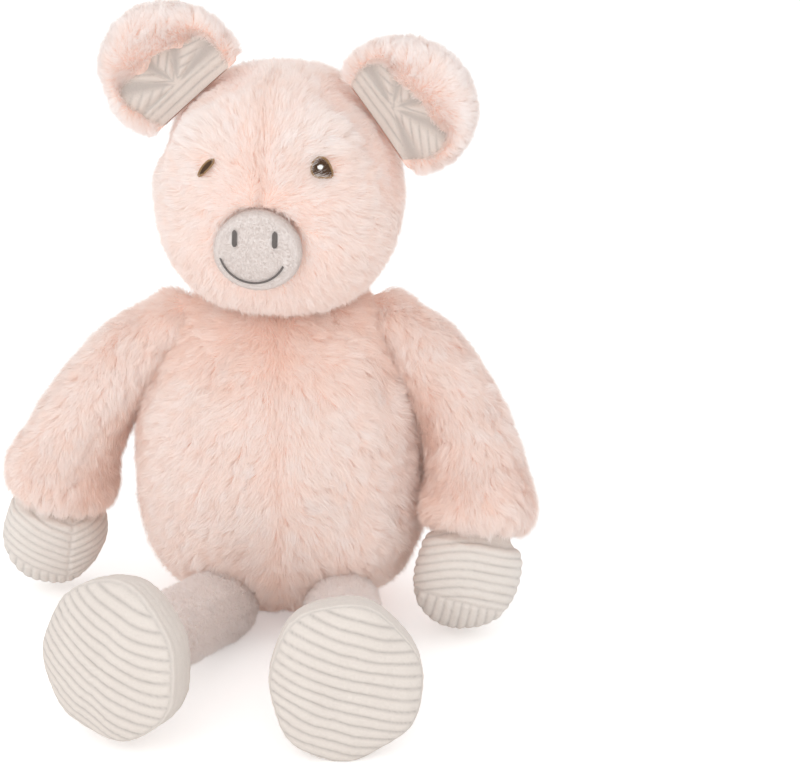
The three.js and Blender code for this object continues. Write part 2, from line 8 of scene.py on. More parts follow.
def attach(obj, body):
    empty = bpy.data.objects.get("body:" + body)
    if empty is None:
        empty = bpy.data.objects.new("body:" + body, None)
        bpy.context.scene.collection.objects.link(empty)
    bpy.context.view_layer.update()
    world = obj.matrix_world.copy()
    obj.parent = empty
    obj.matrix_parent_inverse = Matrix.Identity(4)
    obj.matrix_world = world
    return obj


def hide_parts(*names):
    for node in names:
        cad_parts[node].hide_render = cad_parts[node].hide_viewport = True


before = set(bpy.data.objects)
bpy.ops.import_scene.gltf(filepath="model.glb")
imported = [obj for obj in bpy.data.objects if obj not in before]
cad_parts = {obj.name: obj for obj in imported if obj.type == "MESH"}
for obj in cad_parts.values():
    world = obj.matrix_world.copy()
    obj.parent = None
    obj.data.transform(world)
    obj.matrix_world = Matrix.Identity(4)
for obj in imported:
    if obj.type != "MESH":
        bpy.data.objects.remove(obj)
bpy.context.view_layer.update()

MILLIMETRE = 0.001

# Sizes that the looks share with the solids, in millimetres and degrees
BODY_HALF_WIDTH, BODY_HALF_DEPTH = 66, 59
BODY_WIDEST, BODY_TOP = 66, 158
BODY_LOWER_FULLNESS, BODY_UPPER_FULLNESS = 2.6, 2.15
HEAD_CENTRE = Vector((0, -9, 198.5))
HEAD_HALF = (53, 49.5, 52.5)
HEAD_FULLNESS = 2.15
HEAD_YAW = -8
SNOUT_RADIUS, SNOUT_HEIGHT_SHARE = 18, 0.94
SNOUT_DROP, SNOUT_REACH, SNOUT_DEPTH = 13, 57, 15
SNOUT_CROWN, SNOUT_EDGE = 2.5, 4
NOSTRIL_SPACING, NOSTRIL_HEIGHT, NOSTRIL_WIDTH, NOSTRIL_RISE = 17, 7, 2.4, 6.5
SMILE_RADIUS, SMILE_HALF_ANGLE, SMILE_TILT = 14.4, 68, -5
SMILE_SHIFT, SMILE_RISE = -1, 1.6
EYE_OUTLINES = {     # in the head's own front view
    "right": [(22.0, 21.3), (22.7, 24.0), (24.9, 25.5), (27.6, 24.2), (29.5, 20.9), (30.2, 17.4),
              (27.9, 16.9), (25.0, 17.4), (22.8, 18.8)],
    "left": [(-26.2, 15.6), (-25.6, 17.9), (-23.7, 20.7), (-21.5, 22.7), (-19.2, 23.6), (-19.5, 21.9),
             (-21.4, 19.5), (-23.8, 17.1)],
}
EYE_STITCH_LEANS = {"right": -15, "left": 48}
EYE_GLINT = (25.6, 21.6)
EAR_CHORD_OFFSET = 15
EAR_PINCH_SHARE, EAR_PINCH_REACH = 0.42, 22
EAR_LIP_SIDE, EAR_LIP_CROWN = 24, 10     # where the fur ends, from the middle
EAR_LIP_TILT = {"right": 9, "left": -9}
EARS = {"right": {"climb": 35, "slant": 8, "back": 2}, "left": {"climb": 47.5, "slant": 6, "back": 3}}
EAR_PINCH_PLACE = (-2, 9.5)
EAR_CREASES = {"right": (-12, 38, 78, 130, 172), "left": (8, 50, 102, 142, 186)}     # degrees about the pinch
EAR_WALE_LEANS = {"right": (0, 28, -40, 35, -15, 0), "left": (0, 15, -35, 40, -28, 0)}
SHOULDER_OUT, SHOULDER_HEIGHT = 48.52, 134
ARM_LENGTH, WRIST_INSET = 102, 2
ARM_RADII = ((0.21, 17.5), (0.47, 18.5), (0.75, 21), (1, 23.5))
ARMS = {
    "right": {"lift": 51.5, "swing": -19, "bend": 57, "wrist": 7},
    "left": {"lift": 53.5, "swing": 6, "bend": 40, "wrist": 6},
}
WRIST_RADIUS, HAND_RADIUS, HAND_LENGTH, HAND_DEPTH_SHARE = 18.4, 24, 50, 0.86
HAND_OUTLINE = ((0.22, 0.93), (0.4, 1), (0.6, 0.98), (0.79, 0.84), (0.92, 0.58), (0.98, 0.3))
HANDS = {     # the panels' seams and how the wales lean and sag on them, in the wrist's frame
    "right": {"seam": 40, "slope": 0.03, "rise": 0, "sag": 0.011, "hem": 36, "hem_slope": 0.05},
    "left": {"seam": 9, "slope": 0.32, "rise": 0.42, "sag": 0.0, "hem": 37, "hem_slope": 0.27},
}
HIP_RADIUS, LEG_LENGTH, LEG_RADIUS, ANKLE_RADIUS = 17, 77, 15.5, 15
LEGS = {
    "right": {"hip": (27, -47.96, 17.5), "yaw": 1.5, "lift": 10, "foot_yaw": 1, "foot_tilt": 6},
    "left": {"hip": (-27, -46.46, 17.5), "yaw": -19, "lift": 12, "foot_yaw": -7, "foot_tilt": 5},
}
FOOT_HALF_WIDTH, FOOT_HALF_HEIGHT, FOOT_DEPTH, SOLE_CROWN = 31, 33.5, 35, 5
FEET = {     # how steep the sole's wales lie at its left and right edge, and how its outline is drawn out
    "right": {"steep": 0.55, "flat": 0.1, "pitch": 5.0, "egg": 0.02, "egg_turn": 20,
              "corners": ((3, 0.02, 115), (7, 0.013, 20))},
    "left": {"steep": 1.0, "flat": 0.0, "pitch": 5.2, "egg": 0.03, "egg_turn": -10,
             "corners": ((3, 0.025, 85), (7, 0.014, 75))},
}
TAIL_PLACE, TAIL_RISE, TAIL_BEND, TAIL_LENGTH, TAIL_RADIUS = (0, 57.7, 44), 28, 110, 30, 4.2
SIDES = {"right": 1, "left": -1}

# How the skins and the fur share the thickness of the plush
SKIN_INSET = 2.8
ARM_ROOT_RADIUS = 15.5     # smaller than the joint's ball, so that the sleeve runs on from the shoulder
SEED = 7


# Numbers and noise


def unit(vectors):
    return vectors / np.maximum(np.linalg.norm(vectors, axis=-1, keepdims=True), 1e-9)


def smooth(value, low, high):
    """0 before low, 1 after high, and an even slope between them."""
    share = np.clip((value - low) / (high - low), 0, 1)
    return share * share * (3 - 2 * share)


def hill(value, width):
    """1 where value is 0, and next to 0 beyond about twice the width on both sides."""
    return np.exp(-((value / width) ** 2))


def ripple(points, size, seed, waves=9):
    """Smooth noise between about -1 and 1, whose bumps are about as wide as size."""
    rng = np.random.default_rng(SEED + seed)
    facing = unit(rng.normal(size=(waves, 3))) * (math.pi / size) * rng.uniform(0.6, 1.5, (waves, 1))
    phase = rng.uniform(0, 2 * math.pi, waves)
    return np.sin(points @ facing.T + phase).sum(axis=-1) / math.sqrt(waves)


def ribs(distance, points, pitch, seed):
    """How high the ribs of corduroy stand: 1 on a rib, 0 in the groove between two, and a little uneven."""
    uneven = 0.05 * pitch * ripple(points, 13, seed)
    return np.abs(np.sin((distance + uneven) * math.pi / pitch)) ** 0.6


def nubs(points, seed):
    """The small bumps of a cord's cut pile."""
    return 0.09 * ripple(points, 1.7, seed) + 0.07 * ripple(points, 2.6, seed + 100)


def turned_towards(vectors, axes, angle):
    """Each vector turned about its own axis, which it is square to."""
    return vectors * np.cos(angle)[..., None] + np.cross(axes, vectors) * np.sin(angle)[..., None]


def rotation(axis, degrees):
    return Matrix.Rotation(math.radians(degrees), 4, axis)


# Skins


class Skin:
    """A grid of points [ring, place around, xyz]. A closed end is a ring drawn together into one point."""

    def __init__(self, grid, closed=(True, True)):
        self.grid = np.asarray(grid, float)
        self.closed = closed

    def axes(self):
        """The x, y and z of all points. A change to one of them in place changes the skin."""
        return np.moveaxis(self.grid, -1, 0)

    def distance(self, place):
        return np.linalg.norm(self.grid - np.asarray(place), axis=-1)

    def keep_above(self, height):
        self.grid[..., 2] = np.maximum(self.grid[..., 2], height)
        return self

    def moved(self, matrix):
        turn = np.array(matrix)
        return Skin(self.grid @ turn[:3, :3].T + turn[:3, 3], self.closed)

    def along(self):
        return unit(np.gradient(self.grid, axis=0))

    def normals(self):
        around = np.roll(self.grid, -1, axis=1) - np.roll(self.grid, 1, axis=1)
        normals = unit(np.cross(around, np.gradient(self.grid, axis=0)))
        for end, inner in ((0, 1), (-1, -2)):
            if self.closed[end]:
                normals[end] = unit(normals[inner].mean(axis=0))
        return normals

    def pushed(self, amount):
        """The skin with every point moved along its normal."""
        return Skin(self.grid + self.normals() * np.asarray(amount)[..., None], self.closed)

    def faces(self):
        """Quads over the grid, with the points of a closed end as one."""
        rings, around = self.grid.shape[:2]
        index = np.arange(rings * around).reshape(rings, around)
        for end in (0, -1):
            if self.closed[end]:
                index[end] = index[end, 0]
        after = np.roll(index, -1, axis=1)
        return np.stack([index[:-1], after[:-1], after[1:], index[1:]], axis=-1).reshape(-1, 4)

    def cells(self):
        """Twice the area of each cell of the grid."""
        after = np.roll(self.grid, -1, axis=1)
        return np.linalg.norm(np.cross(after[1:] - self.grid[:-1], self.grid[1:] - after[:-1]), axis=-1)

    def area(self):
        return self.cells().sum() / 2

    def scatter(self, count, rng, weight, *fields):
        """The values of each field [ring, around, ...] at places spread evenly over the skin, by weight."""
        chance = (self.cells() * (weight[:-1] + weight[1:])).ravel()
        cell = rng.choice(len(chance), count, p=chance / chance.sum())
        ring, place = np.divmod(cell, self.grid.shape[1])
        after = (place + 1) % self.grid.shape[1]
        up, side = rng.random(count), rng.random(count)

        def read(field):
            shape = (count,) + (1,) * (field.ndim - 2)
            u, s = up.reshape(shape), side.reshape(shape)
            low = field[ring, place] * (1 - s) + field[ring, after] * s
            high = field[ring + 1, place] * (1 - s) + field[ring + 1, after] * s
            return low * (1 - u) + high * u

        return [read(field) for field in fields]


def circle(around):
    return np.linspace(0, 2 * math.pi, around, endpoint=False)


def turned_skin(profile, around=144):
    """A profile [radius, height] turned about Z, from the lower to the upper pole."""
    radius, height = np.asarray(profile, float).T
    angle = circle(around)
    x = radius[:, None] * np.cos(angle)
    y = radius[:, None] * np.sin(angle)
    return Skin(np.stack([x, y, np.broadcast_to(height[:, None], x.shape)], axis=-1))


def bowed_line(along, bend, length):
    """Points on a limb's line that leaves the root along -Z and bows in the XZ plane, and its angle there."""
    bowed = np.clip(along, 0, length)
    straight = along - bowed
    curve = math.radians(bend) / length if bend else 1e-9
    angle = curve * bowed
    lead = np.where(straight > 0, angle, 0)
    level = -(1 - np.cos(angle)) / curve - straight * np.sin(lead)
    down = -np.sin(angle) / curve - straight * np.cos(lead)
    return level, down, angle


def limb_skin(profile, bend=0, length=1, around=96):
    """A profile [radius, distance along] turned about a limb's line, from the hidden pole to the far end."""
    radius, along = np.asarray(profile, float).T
    level, down, lean = (value[:, None] for value in bowed_line(along, bend, length))
    angle = circle(around)
    across = radius[:, None] * np.cos(angle)
    x = level + across * np.cos(lean)
    z = down - across * np.sin(lean)
    y = -radius[:, None] * np.sin(angle) + 0 * x
    return Skin(np.stack([x, y, z], axis=-1))


def smooth_profile(points, steps):
    """A smooth line of so many even steps through profile points [radius, distance]."""
    points = np.asarray(points, float)
    gaps = np.linalg.norm(np.diff(points, axis=0), axis=1)
    at = np.concatenate([[0], np.cumsum(gaps)])
    slopes = np.gradient(points, at, axis=0)
    place = np.linspace(0, at[-1], steps)
    i = np.clip(np.searchsorted(at, place, side="right") - 1, 0, len(gaps) - 1)
    span = gaps[i][:, None]
    t = (place - at[i])[:, None] / span
    start, end = points[i], points[i + 1]
    curve = (
        start * (1 + 2 * t) * (1 - t) ** 2
        + span * slopes[i] * t * (1 - t) ** 2
        + end * t**2 * (3 - 2 * t)
        - span * slopes[i + 1] * t**2 * (1 - t)
    )
    curve[:, 0] = np.maximum(curve[:, 0], 0)
    return curve


def ball_profile(radius, start=-90, end=90, steps=12):
    angle = np.radians(np.linspace(start, end, steps))
    return np.stack([radius * np.cos(angle), radius * np.sin(angle)], axis=1)


# Meshes


def make_piece(name, points, faces, material, values=None):
    """A smooth mesh from points in millimetres. Faces are index arrays, each of one number of corners."""
    groups = [np.asarray(group, np.int32) for group in faces if len(group)]
    mesh = bpy.data.meshes.new(name)
    mesh.vertices.add(len(points))
    mesh.vertices.foreach_set("co", (np.asarray(points, np.float32) * MILLIMETRE).ravel())
    corners = np.concatenate([group.ravel() for group in groups])
    counts = np.concatenate([np.full(len(group), group.shape[1], np.int32) for group in groups])
    mesh.loops.add(len(corners))
    mesh.loops.foreach_set("vertex_index", corners)
    mesh.polygons.add(len(counts))
    mesh.polygons.foreach_set("loop_start", np.concatenate([[0], np.cumsum(counts)[:-1]]).astype(np.int32))
    for key, numbers in (values or {}).items():
        made = mesh.attributes.new(key, "FLOAT", "POINT")
        made.data.foreach_set("value", np.asarray(numbers, np.float32).ravel())
    mesh.update(calc_edges=True)
    mesh.shade_smooth()
    mesh.materials.append(material)
    piece = bpy.data.objects.new(name, mesh)
    bpy.context.scene.collection.objects.link(piece)
    return piece


def packed_faces(skin):
    """Which of a skin's points are in use, its quads between them, and its triangles at closed ends."""
    quads = skin.faces()
    used, packed = np.unique(quads, return_inverse=True)
    packed = packed.reshape(quads.shape)
    pole = packed[:, 0] == packed[:, 1]
    other = packed[:, 2] == packed[:, 3]
    return used, packed[~pole & ~other], np.concatenate([packed[pole][:, 1:], packed[other][:, :3]])


def skin_piece(name, skin, material, body, slot, *nodes, fill=None, groove_shade=None):
    """A skin as a finished piece. Its painted shade for the corduroy's grooves, seams and creases is a value
    for each point, painted on it.
    """
    used, quads, triangles = packed_faces(skin)
    values = None if groove_shade is None else {"groove_shade": groove_shade.ravel()[used]}
    piece = make_piece(name, skin.grid.reshape(-1, 3)[used], [quads, triangles], material, values)
    return dress(piece, body, slot, *nodes, fill=fill)


def joined_piece(name, skins, material):
    """One piece of several skins, such as the threads of a patch."""
    points, quads, triangles, first = [], [], [], 0
    for skin in skins:
        used, square, pointed = packed_faces(skin)
        points.append(skin.grid.reshape(-1, 3)[used])
        quads.append(square + first)
        triangles.append(pointed + first)
        first += len(used)
    faces = [np.concatenate(quads), np.concatenate(triangles)]
    return make_piece(name, np.concatenate(points), faces, material)


def dress(piece, body, slot, *nodes, fill=None):
    """Puts a finished piece on its body, in place of its CAD nodes, which it hides. Its slot is not used."""
    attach(piece, body)
    if nodes:
        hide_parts(*nodes)
    return piece


# Strands

SEGMENTS = 2
PIECE_STRANDS = 65000     # keeps each piece of fur under 200,000 triangles
STANDING_SHARE, STANDING_LIFT = 0.14, 26     # some strands stand up by these degrees and soften the outline
BASE_TINT = 0.28
CLEARANCE = 0.3     # between the floor and the lowest strands and hands
STRANDS = {     # how grow makes each cloth
    "body": {"density": 7, "length": 7, "width": 0.19, "tuft": 4.2, "gather": 0.2},
    "head": {"density": 8, "length": 6.2, "width": 0.18, "tuft": 3.8, "gather": 0.17},
    "ear": {"density": 8, "length": 5.4, "width": 0.18, "tuft": 3.6, "gather": 0.16, "lean": 44,
            "swirl": 0.6},
    "arm": {"density": 7.5, "length": 7, "width": 0.19, "tuft": 4.2, "gather": 0.18},
    "leg": {"density": 6.5, "length": 4.2, "width": 0.24, "tuft": 2.6, "gather": 0.5, "lean": 40, "curl": 30},
    "tail": {"density": 8, "length": 3.2, "width": 0.22, "tuft": 2.4, "gather": 0.4, "lean": 40, "curl": 30},
    "snout": {"density": 16, "length": 0.6, "width": 0.13, "tuft": 1.1, "gather": 0.2, "lean": 40,
              "curl": 30},
}


def nearest(points, centres):
    tree = kdtree.KDTree(len(centres))
    for i, centre in enumerate(centres):
        tree.insert(centre, i)
    tree.balance()
    return np.fromiter((tree.find(point)[1] for point in points), np.int64, len(points))


def strand_lines(roots, normals, comb, length, lean, curl):
    """The points of each strand. It leaves its root at lean degrees from the normal and bends on by curl."""
    points = [roots]
    for step in range(SEGMENTS):
        angle = np.radians(lean + curl * step / (SEGMENTS - 1))[:, None]
        way = normals * np.cos(angle) + comb * np.sin(angle)
        points.append(points[-1] + way * (length / SEGMENTS)[:, None])
    return np.stack(points, axis=1)


def ribbons(lines, normals, width, roll):
    """Flat strands that taper to a point: their points and faces."""
    count = len(lines)
    way = unit(lines[:, 1:] - lines[:, :-1])
    side = unit(np.cross(way, normals[:, None]))
    side = turned_towards(side, way, np.broadcast_to(roll[:, None], way.shape[:2]))
    taper = 1 - 0.55 * np.arange(SEGMENTS) / SEGMENTS
    half = side * (width[:, None] * taper / 2)[..., None]
    rails = np.stack([lines[:, :-1] - half, lines[:, :-1] + half], axis=2).reshape(count, 2 * SEGMENTS, 3)
    points = np.concatenate([rails, lines[:, -1:]], axis=1)
    start = (np.arange(count) * (2 * SEGMENTS + 1))[:, None]
    low = 2 * np.arange(SEGMENTS - 1)
    quad = np.stack([low, low + 1, low + 3, low + 2], axis=1).ravel()
    tip = np.array([2 * SEGMENTS - 2, 2 * SEGMENTS - 1, 2 * SEGMENTS])
    return points.reshape(-1, 3), (start + quad).reshape(-1, 4), start + tip


def combed(skin, field):
    """Directions along the skin that follow a field of directions in space."""
    normals = skin.normals()
    return unit(field - normals * (field * normals).sum(axis=-1, keepdims=True))


def grow(name, skin, field, material, body, slot, density, length, width, tuft, gather, lean=50, curl=24,
         swirl=0.35, matrix=None, weight=None, shade=None, long=None, seed=0):
    """Fur on a skin, combed along a field of directions and placed by matrix, as pieces that ride on a body.
    Density counts strands to a square millimetre, tuft is a clump's width, gather how far its tips meet."""
    rng = np.random.default_rng(SEED + seed)
    comb = combed(skin, field)
    if matrix is not None:
        comb = comb @ np.array(matrix)[:3, :3].T
        skin = skin.moved(matrix)
    even = np.ones(skin.grid.shape[:2])
    weight, long = (even if field is None else field for field in (weight, long))
    shade = 0 * even if shade is None else shade
    count = int(skin.area() * density)
    fields = skin.grid, skin.normals(), comb, shade, long
    roots, up, way, painted_shade, reach = skin.scatter(count, rng, weight, *fields)
    up = unit(up)
    way = unit(way - up * (way * up).sum(axis=-1, keepdims=True))
    way = turned_towards(way, up, swirl * ripple(roots, 16, seed) + 0.6 * swirl * ripple(roots, 5, seed + 1))

    centres = rng.choice(count, max(int(count / (density * tuft**2)), 1), replace=False)
    mate = nearest(roots, roots[centres])
    clumps = len(centres)
    clump_turn = rng.normal(0, 0.24, clumps)
    clump_lean = rng.normal(0, 4, clumps)
    clump_reach = rng.uniform(0.88, 1.12, clumps)
    clump_tone = rng.normal(0, 1, clumps)

    def lines_of(picked, its_clump, loose):
        turn = clump_turn[its_clump] + rng.normal(0, 0.16 * loose, len(picked))
        leaning = lean + clump_lean[its_clump] + rng.normal(0, 7 * loose, len(picked))
        leaning = leaning - STANDING_LIFT * loose * (rng.random(len(picked)) < STANDING_SHARE)
        uneven = rng.uniform(1 - 0.22 * loose, 1 + 0.1 * loose, len(picked))
        reaches = length * reach[picked] * clump_reach[its_clump] * uneven
        combed = turned_towards(way[picked], up[picked], turn)
        return strand_lines(roots[picked], up[picked], combed, reaches, leaning, curl)

    axis = lines_of(centres, np.arange(clumps), 0)
    lines = lines_of(np.arange(count), mate, 1)
    step = np.linspace(0, 1, SEGMENTS + 1)[None, :, None]
    drawn = gather * rng.uniform(0.5, 1.1, (count, 1, 1))
    lines = lines + (axis[mate] - lines) * drawn * step**1.4
    lines[..., 2] = np.maximum(lines[..., 2], CLEARANCE)

    widths = width * rng.uniform(0.7, 1.25, count)
    rolls = rng.normal(0, 0.35, count)
    # The tint is random between clumps and strands, plus the painted shade that the shade field gives.
    tint_and_shade = np.clip(BASE_TINT + 0.07 * clump_tone[mate] + 0.05 * rng.normal(size=count) + painted_shade, 0, 1)
    order = np.argsort(np.arctan2(roots[:, 1] - roots[:, 1].mean(), roots[:, 0] - roots[:, 0].mean()))
    pieces = []
    for number, part in enumerate(np.array_split(order, -(-count // PIECE_STRANDS)), 1):
        points, quads, tips = ribbons(lines[part], up[part], widths[part], rolls[part])
        stations = np.append(np.repeat(np.arange(SEGMENTS), 2), SEGMENTS) / SEGMENTS
        values = {
            "along": np.tile(stations, len(part)),
            "tint_and_shade": np.repeat(tint_and_shade[part], 2 * SEGMENTS + 1),
        }
        piece = make_piece(f"{name}_{number}", points, [quads, tips], material, values)
        pieces.append(dress(piece, body, slot))
    return pieces


# Materials


def node(tree, kind, inputs=None, **settings):
    made = tree.nodes.new(kind)
    for key, value in settings.items():
        setattr(made, key, value)
    for socket, value in (inputs or {}).items():
        if isinstance(value, bpy.types.NodeSocket):
            tree.links.new(value, made.inputs[socket])
        else:
            made.inputs[socket].default_value = value
    return made


def ramp(tree, value, *stops):
    """A colour ramp through stops (position, colour)."""
    made = node(tree, "ShaderNodeValToRGB", {"Fac": value})
    elements = made.color_ramp.elements
    while len(elements) < len(stops):
        elements.new(0.5)
    for element, (position, colour) in zip(elements, stops):
        element.position = position
        element.color = (*colour, 1)
    return made.outputs["Color"]


def mixed(tree, share, low, high, blend="MIX"):
    made = node(tree, "ShaderNodeMix", data_type="RGBA", blend_type=blend)
    for socket, value in zip((0, 6, 7), (share, low, high)):
        if isinstance(value, bpy.types.NodeSocket):
            tree.links.new(value, made.inputs[socket])
        else:
            made.inputs[socket].default_value = value if socket == 0 else (*value, 1)
    return made.outputs[2]


def start_material(name):
    material = bpy.data.materials.new(name)
    material.use_nodes = True
    material.node_tree.nodes.clear()
    return material, material.node_tree


def painted(tree, name):
    """A value that is painted on the mesh."""
    return node(tree, "ShaderNodeAttribute", attribute_name=name).outputs["Fac"]


def noise(tree, scale, detail, **more):
    """Noise in the piece's own space, with about scale bumps to the metre."""
    inputs = {"Vector": node(tree, "ShaderNodeTexCoord").outputs["Object"], "Scale": scale, "Detail": detail}
    return node(tree, "ShaderNodeTexNoise", inputs | more).outputs["Fac"]


def close_material(tree, shader):
    node(tree, "ShaderNodeOutputMaterial", {"Surface": shader.outputs[0]})


def close_cloth(tree, colour, height, strength, distance, more):
    """Ends a material in an opaque shader whose fine relief follows height."""
    bump = node(tree, "ShaderNodeBump", {"Height": height, "Strength": strength, "Distance": distance})
    inputs = {"Base Color": colour, "Normal": bump.outputs[0]}
    close_material(tree, node(tree, "ShaderNodeBsdfPrincipled", inputs | more))


def fur_material(name, root, middle, tip, warm, through):
    """Strands that let a share of the light through. Warm multiplies their colour where the painted tint is
    high: random between clumps, plus painted shade.
    """
    material, tree = start_material(name)
    along = painted(tree, "along")
    pale = ramp(tree, along, (0, root), (0.45, middle), (1, tip))
    middle, tip = (tuple(a * b for a, b in zip(colour, warm)) for colour in (middle, tip))
    deep = ramp(tree, along, (0, root), (0.45, middle), (1, tip))
    colour = mixed(tree, painted(tree, "tint_and_shade"), pale, deep)
    front = {"Base Color": colour, "Roughness": 0.75, "Specular IOR Level": 0.2}
    front = node(tree, "ShaderNodeBsdfPrincipled", front).outputs[0]
    back = node(tree, "ShaderNodeBsdfTranslucent", {"Color": colour}).outputs[0]
    close_material(tree, node(tree, "ShaderNodeMixShader", {0: through, 1: front, 2: back}))
    return material


def skin_material(name, colour, darker, scale=900):
    """The backing under the fur: a matt knit that is darker in places."""
    material, tree = start_material(name)
    knit = noise(tree, scale, 3)
    close_cloth(tree, mixed(tree, knit, colour, darker), knit, 0.4, 0.0004, {"Roughness": 0.95})
    return material


def corduroy_material(name, ridge, groove_shade):
    """Ribs whose pile catches the light. A painted value darkens them towards grey: painted shade in the
    grooves, seams and creases.
    """
    material, tree = start_material(name)
    pile = noise(tree, 1100, 4, Roughness=0.7)
    base = ramp(tree, painted(tree, "groove_shade"), (0.15, ridge), (0.95, groove_shade))
    for pattern, dark in ((pile, (0.87, 0.87, 0.87)), (noise(tree, 90, 2), (0.95, 0.94, 0.94))):
        base = mixed(tree, 1.0, base, mixed(tree, pattern, dark, (1.0, 1.0, 1.0)), "MULTIPLY")
    close_cloth(tree, base, pile, 0.8, 0.0006, {
        "Roughness": 0.9, "Specular IOR Level": 0.15, "Sheen Weight": 0.25, "Sheen Roughness": 0.5,
    })
    return material


def thread_material(name, colour, lighter):
    """Satin stitches: fine lines of thread with a soft shine."""
    material, tree = start_material(name)
    fibre = noise(tree, 2600, 3)
    shine = {"Roughness": 0.6, "Specular IOR Level": 0.25}
    close_cloth(tree, mixed(tree, fibre, colour, lighter), fibre, 0.4, 0.0002, shine)
    return material


# Warm is the deeper colour that the random tint and the painted shade pull the fur towards.
FUR = fur_material(
    "fur", root=(0.978, 0.912, 0.872), middle=(0.986, 0.959, 0.947), tip=(0.988, 0.967, 0.958),
    warm=(1.0, 0.87, 0.79), through=0.4,
)
VELOUR_PILE = fur_material(
    "velour_pile", root=(0.975, 0.95, 0.94), middle=(0.985, 0.965, 0.957), tip=(0.99, 0.972, 0.965),
    warm=(0.99, 0.975, 0.965), through=0.4,
)
SNOUT_PILE = fur_material(
    "snout_pile", root=(0.72, 0.655, 0.625), middle=(0.80, 0.74, 0.71), tip=(0.83, 0.775, 0.75),
    warm=(0.95, 0.93, 0.92), through=0.35,
)
FUR_SKIN = skin_material("fur_backing", (0.95, 0.76, 0.68), (0.90, 0.68, 0.60))
VELOUR = skin_material("velour", (0.95, 0.90, 0.875), (0.89, 0.83, 0.80), 1400)
SNOUT_SKIN = skin_material("snout_velour", (0.82, 0.755, 0.725), (0.74, 0.675, 0.645), 1400)
# The second colour is the painted shade of the grooves, seams and creases.
CORDUROY = corduroy_material("corduroy", (0.82, 0.75, 0.69), (0.60, 0.55, 0.51))
# A lighter copy of the corduroy for the hands: painted light, as the hands are of the same cloth as the soles
# and ear linings.
HAND_CORDUROY_PAINTED_LIGHT = corduroy_material("hand_corduroy_painted_light", (0.89, 0.825, 0.765), (0.70, 0.645, 0.60))
THREAD = thread_material("dark_thread", (0.10, 0.088, 0.082), (0.22, 0.195, 0.185))
EYE_THREAD = thread_material("brown_thread", (0.05, 0.024, 0.012), (0.12, 0.065, 0.035))
RIM_THREAD = thread_material("rim_thread", (0.26, 0.145, 0.06), (0.42, 0.27, 0.14))
GLINT_THREAD = thread_material("white_thread", (0.85, 0.84, 0.82), (0.95, 0.95, 0.94))


# Trunk


def body_profile(inset, rings=110):
    angle = np.radians(np.linspace(-90, 90, rings))
    below = angle < 0
    fullness = 2 / np.where(below, BODY_LOWER_FULLNESS, BODY_UPPER_FULLNESS)
    reach = np.where(below, BODY_WIDEST, BODY_TOP - BODY_WIDEST) - inset
    radius = (BODY_HALF_WIDTH - inset) * np.maximum(np.cos(angle), 0) ** fullness
    height = BODY_WIDEST + np.sign(angle) * reach * np.abs(np.sin(angle)) ** fullness
    return np.stack([radius, height], axis=1)


def dented(skin, centre, radius):
    """The skin pressed in along its normals until it is clear of a ball."""
    normals = skin.normals()
    apart = skin.grid - np.asarray(centre)
    lean = (apart * normals).sum(axis=-1)
    inside = radius**2 - (apart**2).sum(axis=-1)
    sink = np.where(inside > 0, lean + np.sqrt(np.maximum(lean**2 + inside, 0)), 0)
    return Skin(skin.grid - normals * sink[..., None], skin.closed)


def shoulder_place(side):
    return (side * SHOULDER_OUT, 0, SHOULDER_HEIGHT)


def build_trunk():
    skin = turned_skin(body_profile(SKIN_INSET))
    skin.grid[..., 1] *= (BODY_HALF_DEPTH - SKIN_INSET) / (BODY_HALF_WIDTH - SKIN_INSET)
    skin.keep_above(1.5)
    x, y, z = skin.axes()
    seam = hill(x, 2.2) * smooth(-y, 5, 25)
    skin = skin.pushed(0.7 * ripple(skin.grid, 38, 1) + 0.25 * ripple(skin.grid, 13, 2) - 1.2 * seam)
    covered = np.ones(skin.grid.shape[:2])
    for side in SIDES.values():
        for place, height in (((side * 34, -6, 140), 4.5), ((side * 31, -48, 42), 3.5)):     # shoulder, lap
            skin = skin.pushed(height * hill(skin.distance(place), 15))
    balls = [(shoulder_place(side), ARM_ROOT_RADIUS + 0.5, 3) for side in SIDES.values()]
    balls += [(leg["hip"], HIP_RADIUS, 7) for leg in LEGS.values()]
    balls.append((HEAD_CENTRE, HEAD_HALF[2] - 3, 3))
    for centre, radius, lap in balls:
        apart = skin.distance(centre)
        covered *= smooth(apart, radius - lap, radius - lap + 4)
        skin = dented(skin, centre, radius)
    x, y, z = skin.axes()
    nodes = ["body_cover", "body_filling", "pellet_bag", "neck_filling"]
    skin_piece("body_skin", skin, FUR_SKIN, "trunk", "fur", *nodes, fill=0.85)

    front = smooth(-y, -10, 20)
    out = np.tanh(x / 9) * (0.35 + 0.5 * front)
    field = np.stack([out + x / 140, y / 90, -np.ones_like(x)], axis=-1)
    low = smooth(-z, -26, -6)
    seam = front * hill(x, 3)
    # Painted shade: the fur is warmer and deeper pink in the creases by the shoulders and arms, under the
    # chin, along the front seam and towards the bottom.
    painted_shade = 0.26 * smooth(-z, -62, -12) + 0.14 * seam + 0.25 * front * smooth(z, 105, 140) * hill(x, 45)
    painted_shade = painted_shade + 0.2 * smooth(np.abs(x), 50, 62) * smooth(z, 40, 70)
    for side in SIDES.values():
        apart = skin.distance(shoulder_place(side))
        painted_shade = painted_shade + 0.25 * hill(apart - 20, 9)
    grow("body_fur", skin, field, FUR, "trunk", "fur", weight=covered * (1 - 0.5 * low),
         long=1 - 0.4 * low, shade=painted_shade, seed=10, **STRANDS["body"])


# Head


def head_matrix():
    return Matrix.Translation(HEAD_CENTRE) @ rotation("Z", HEAD_YAW)


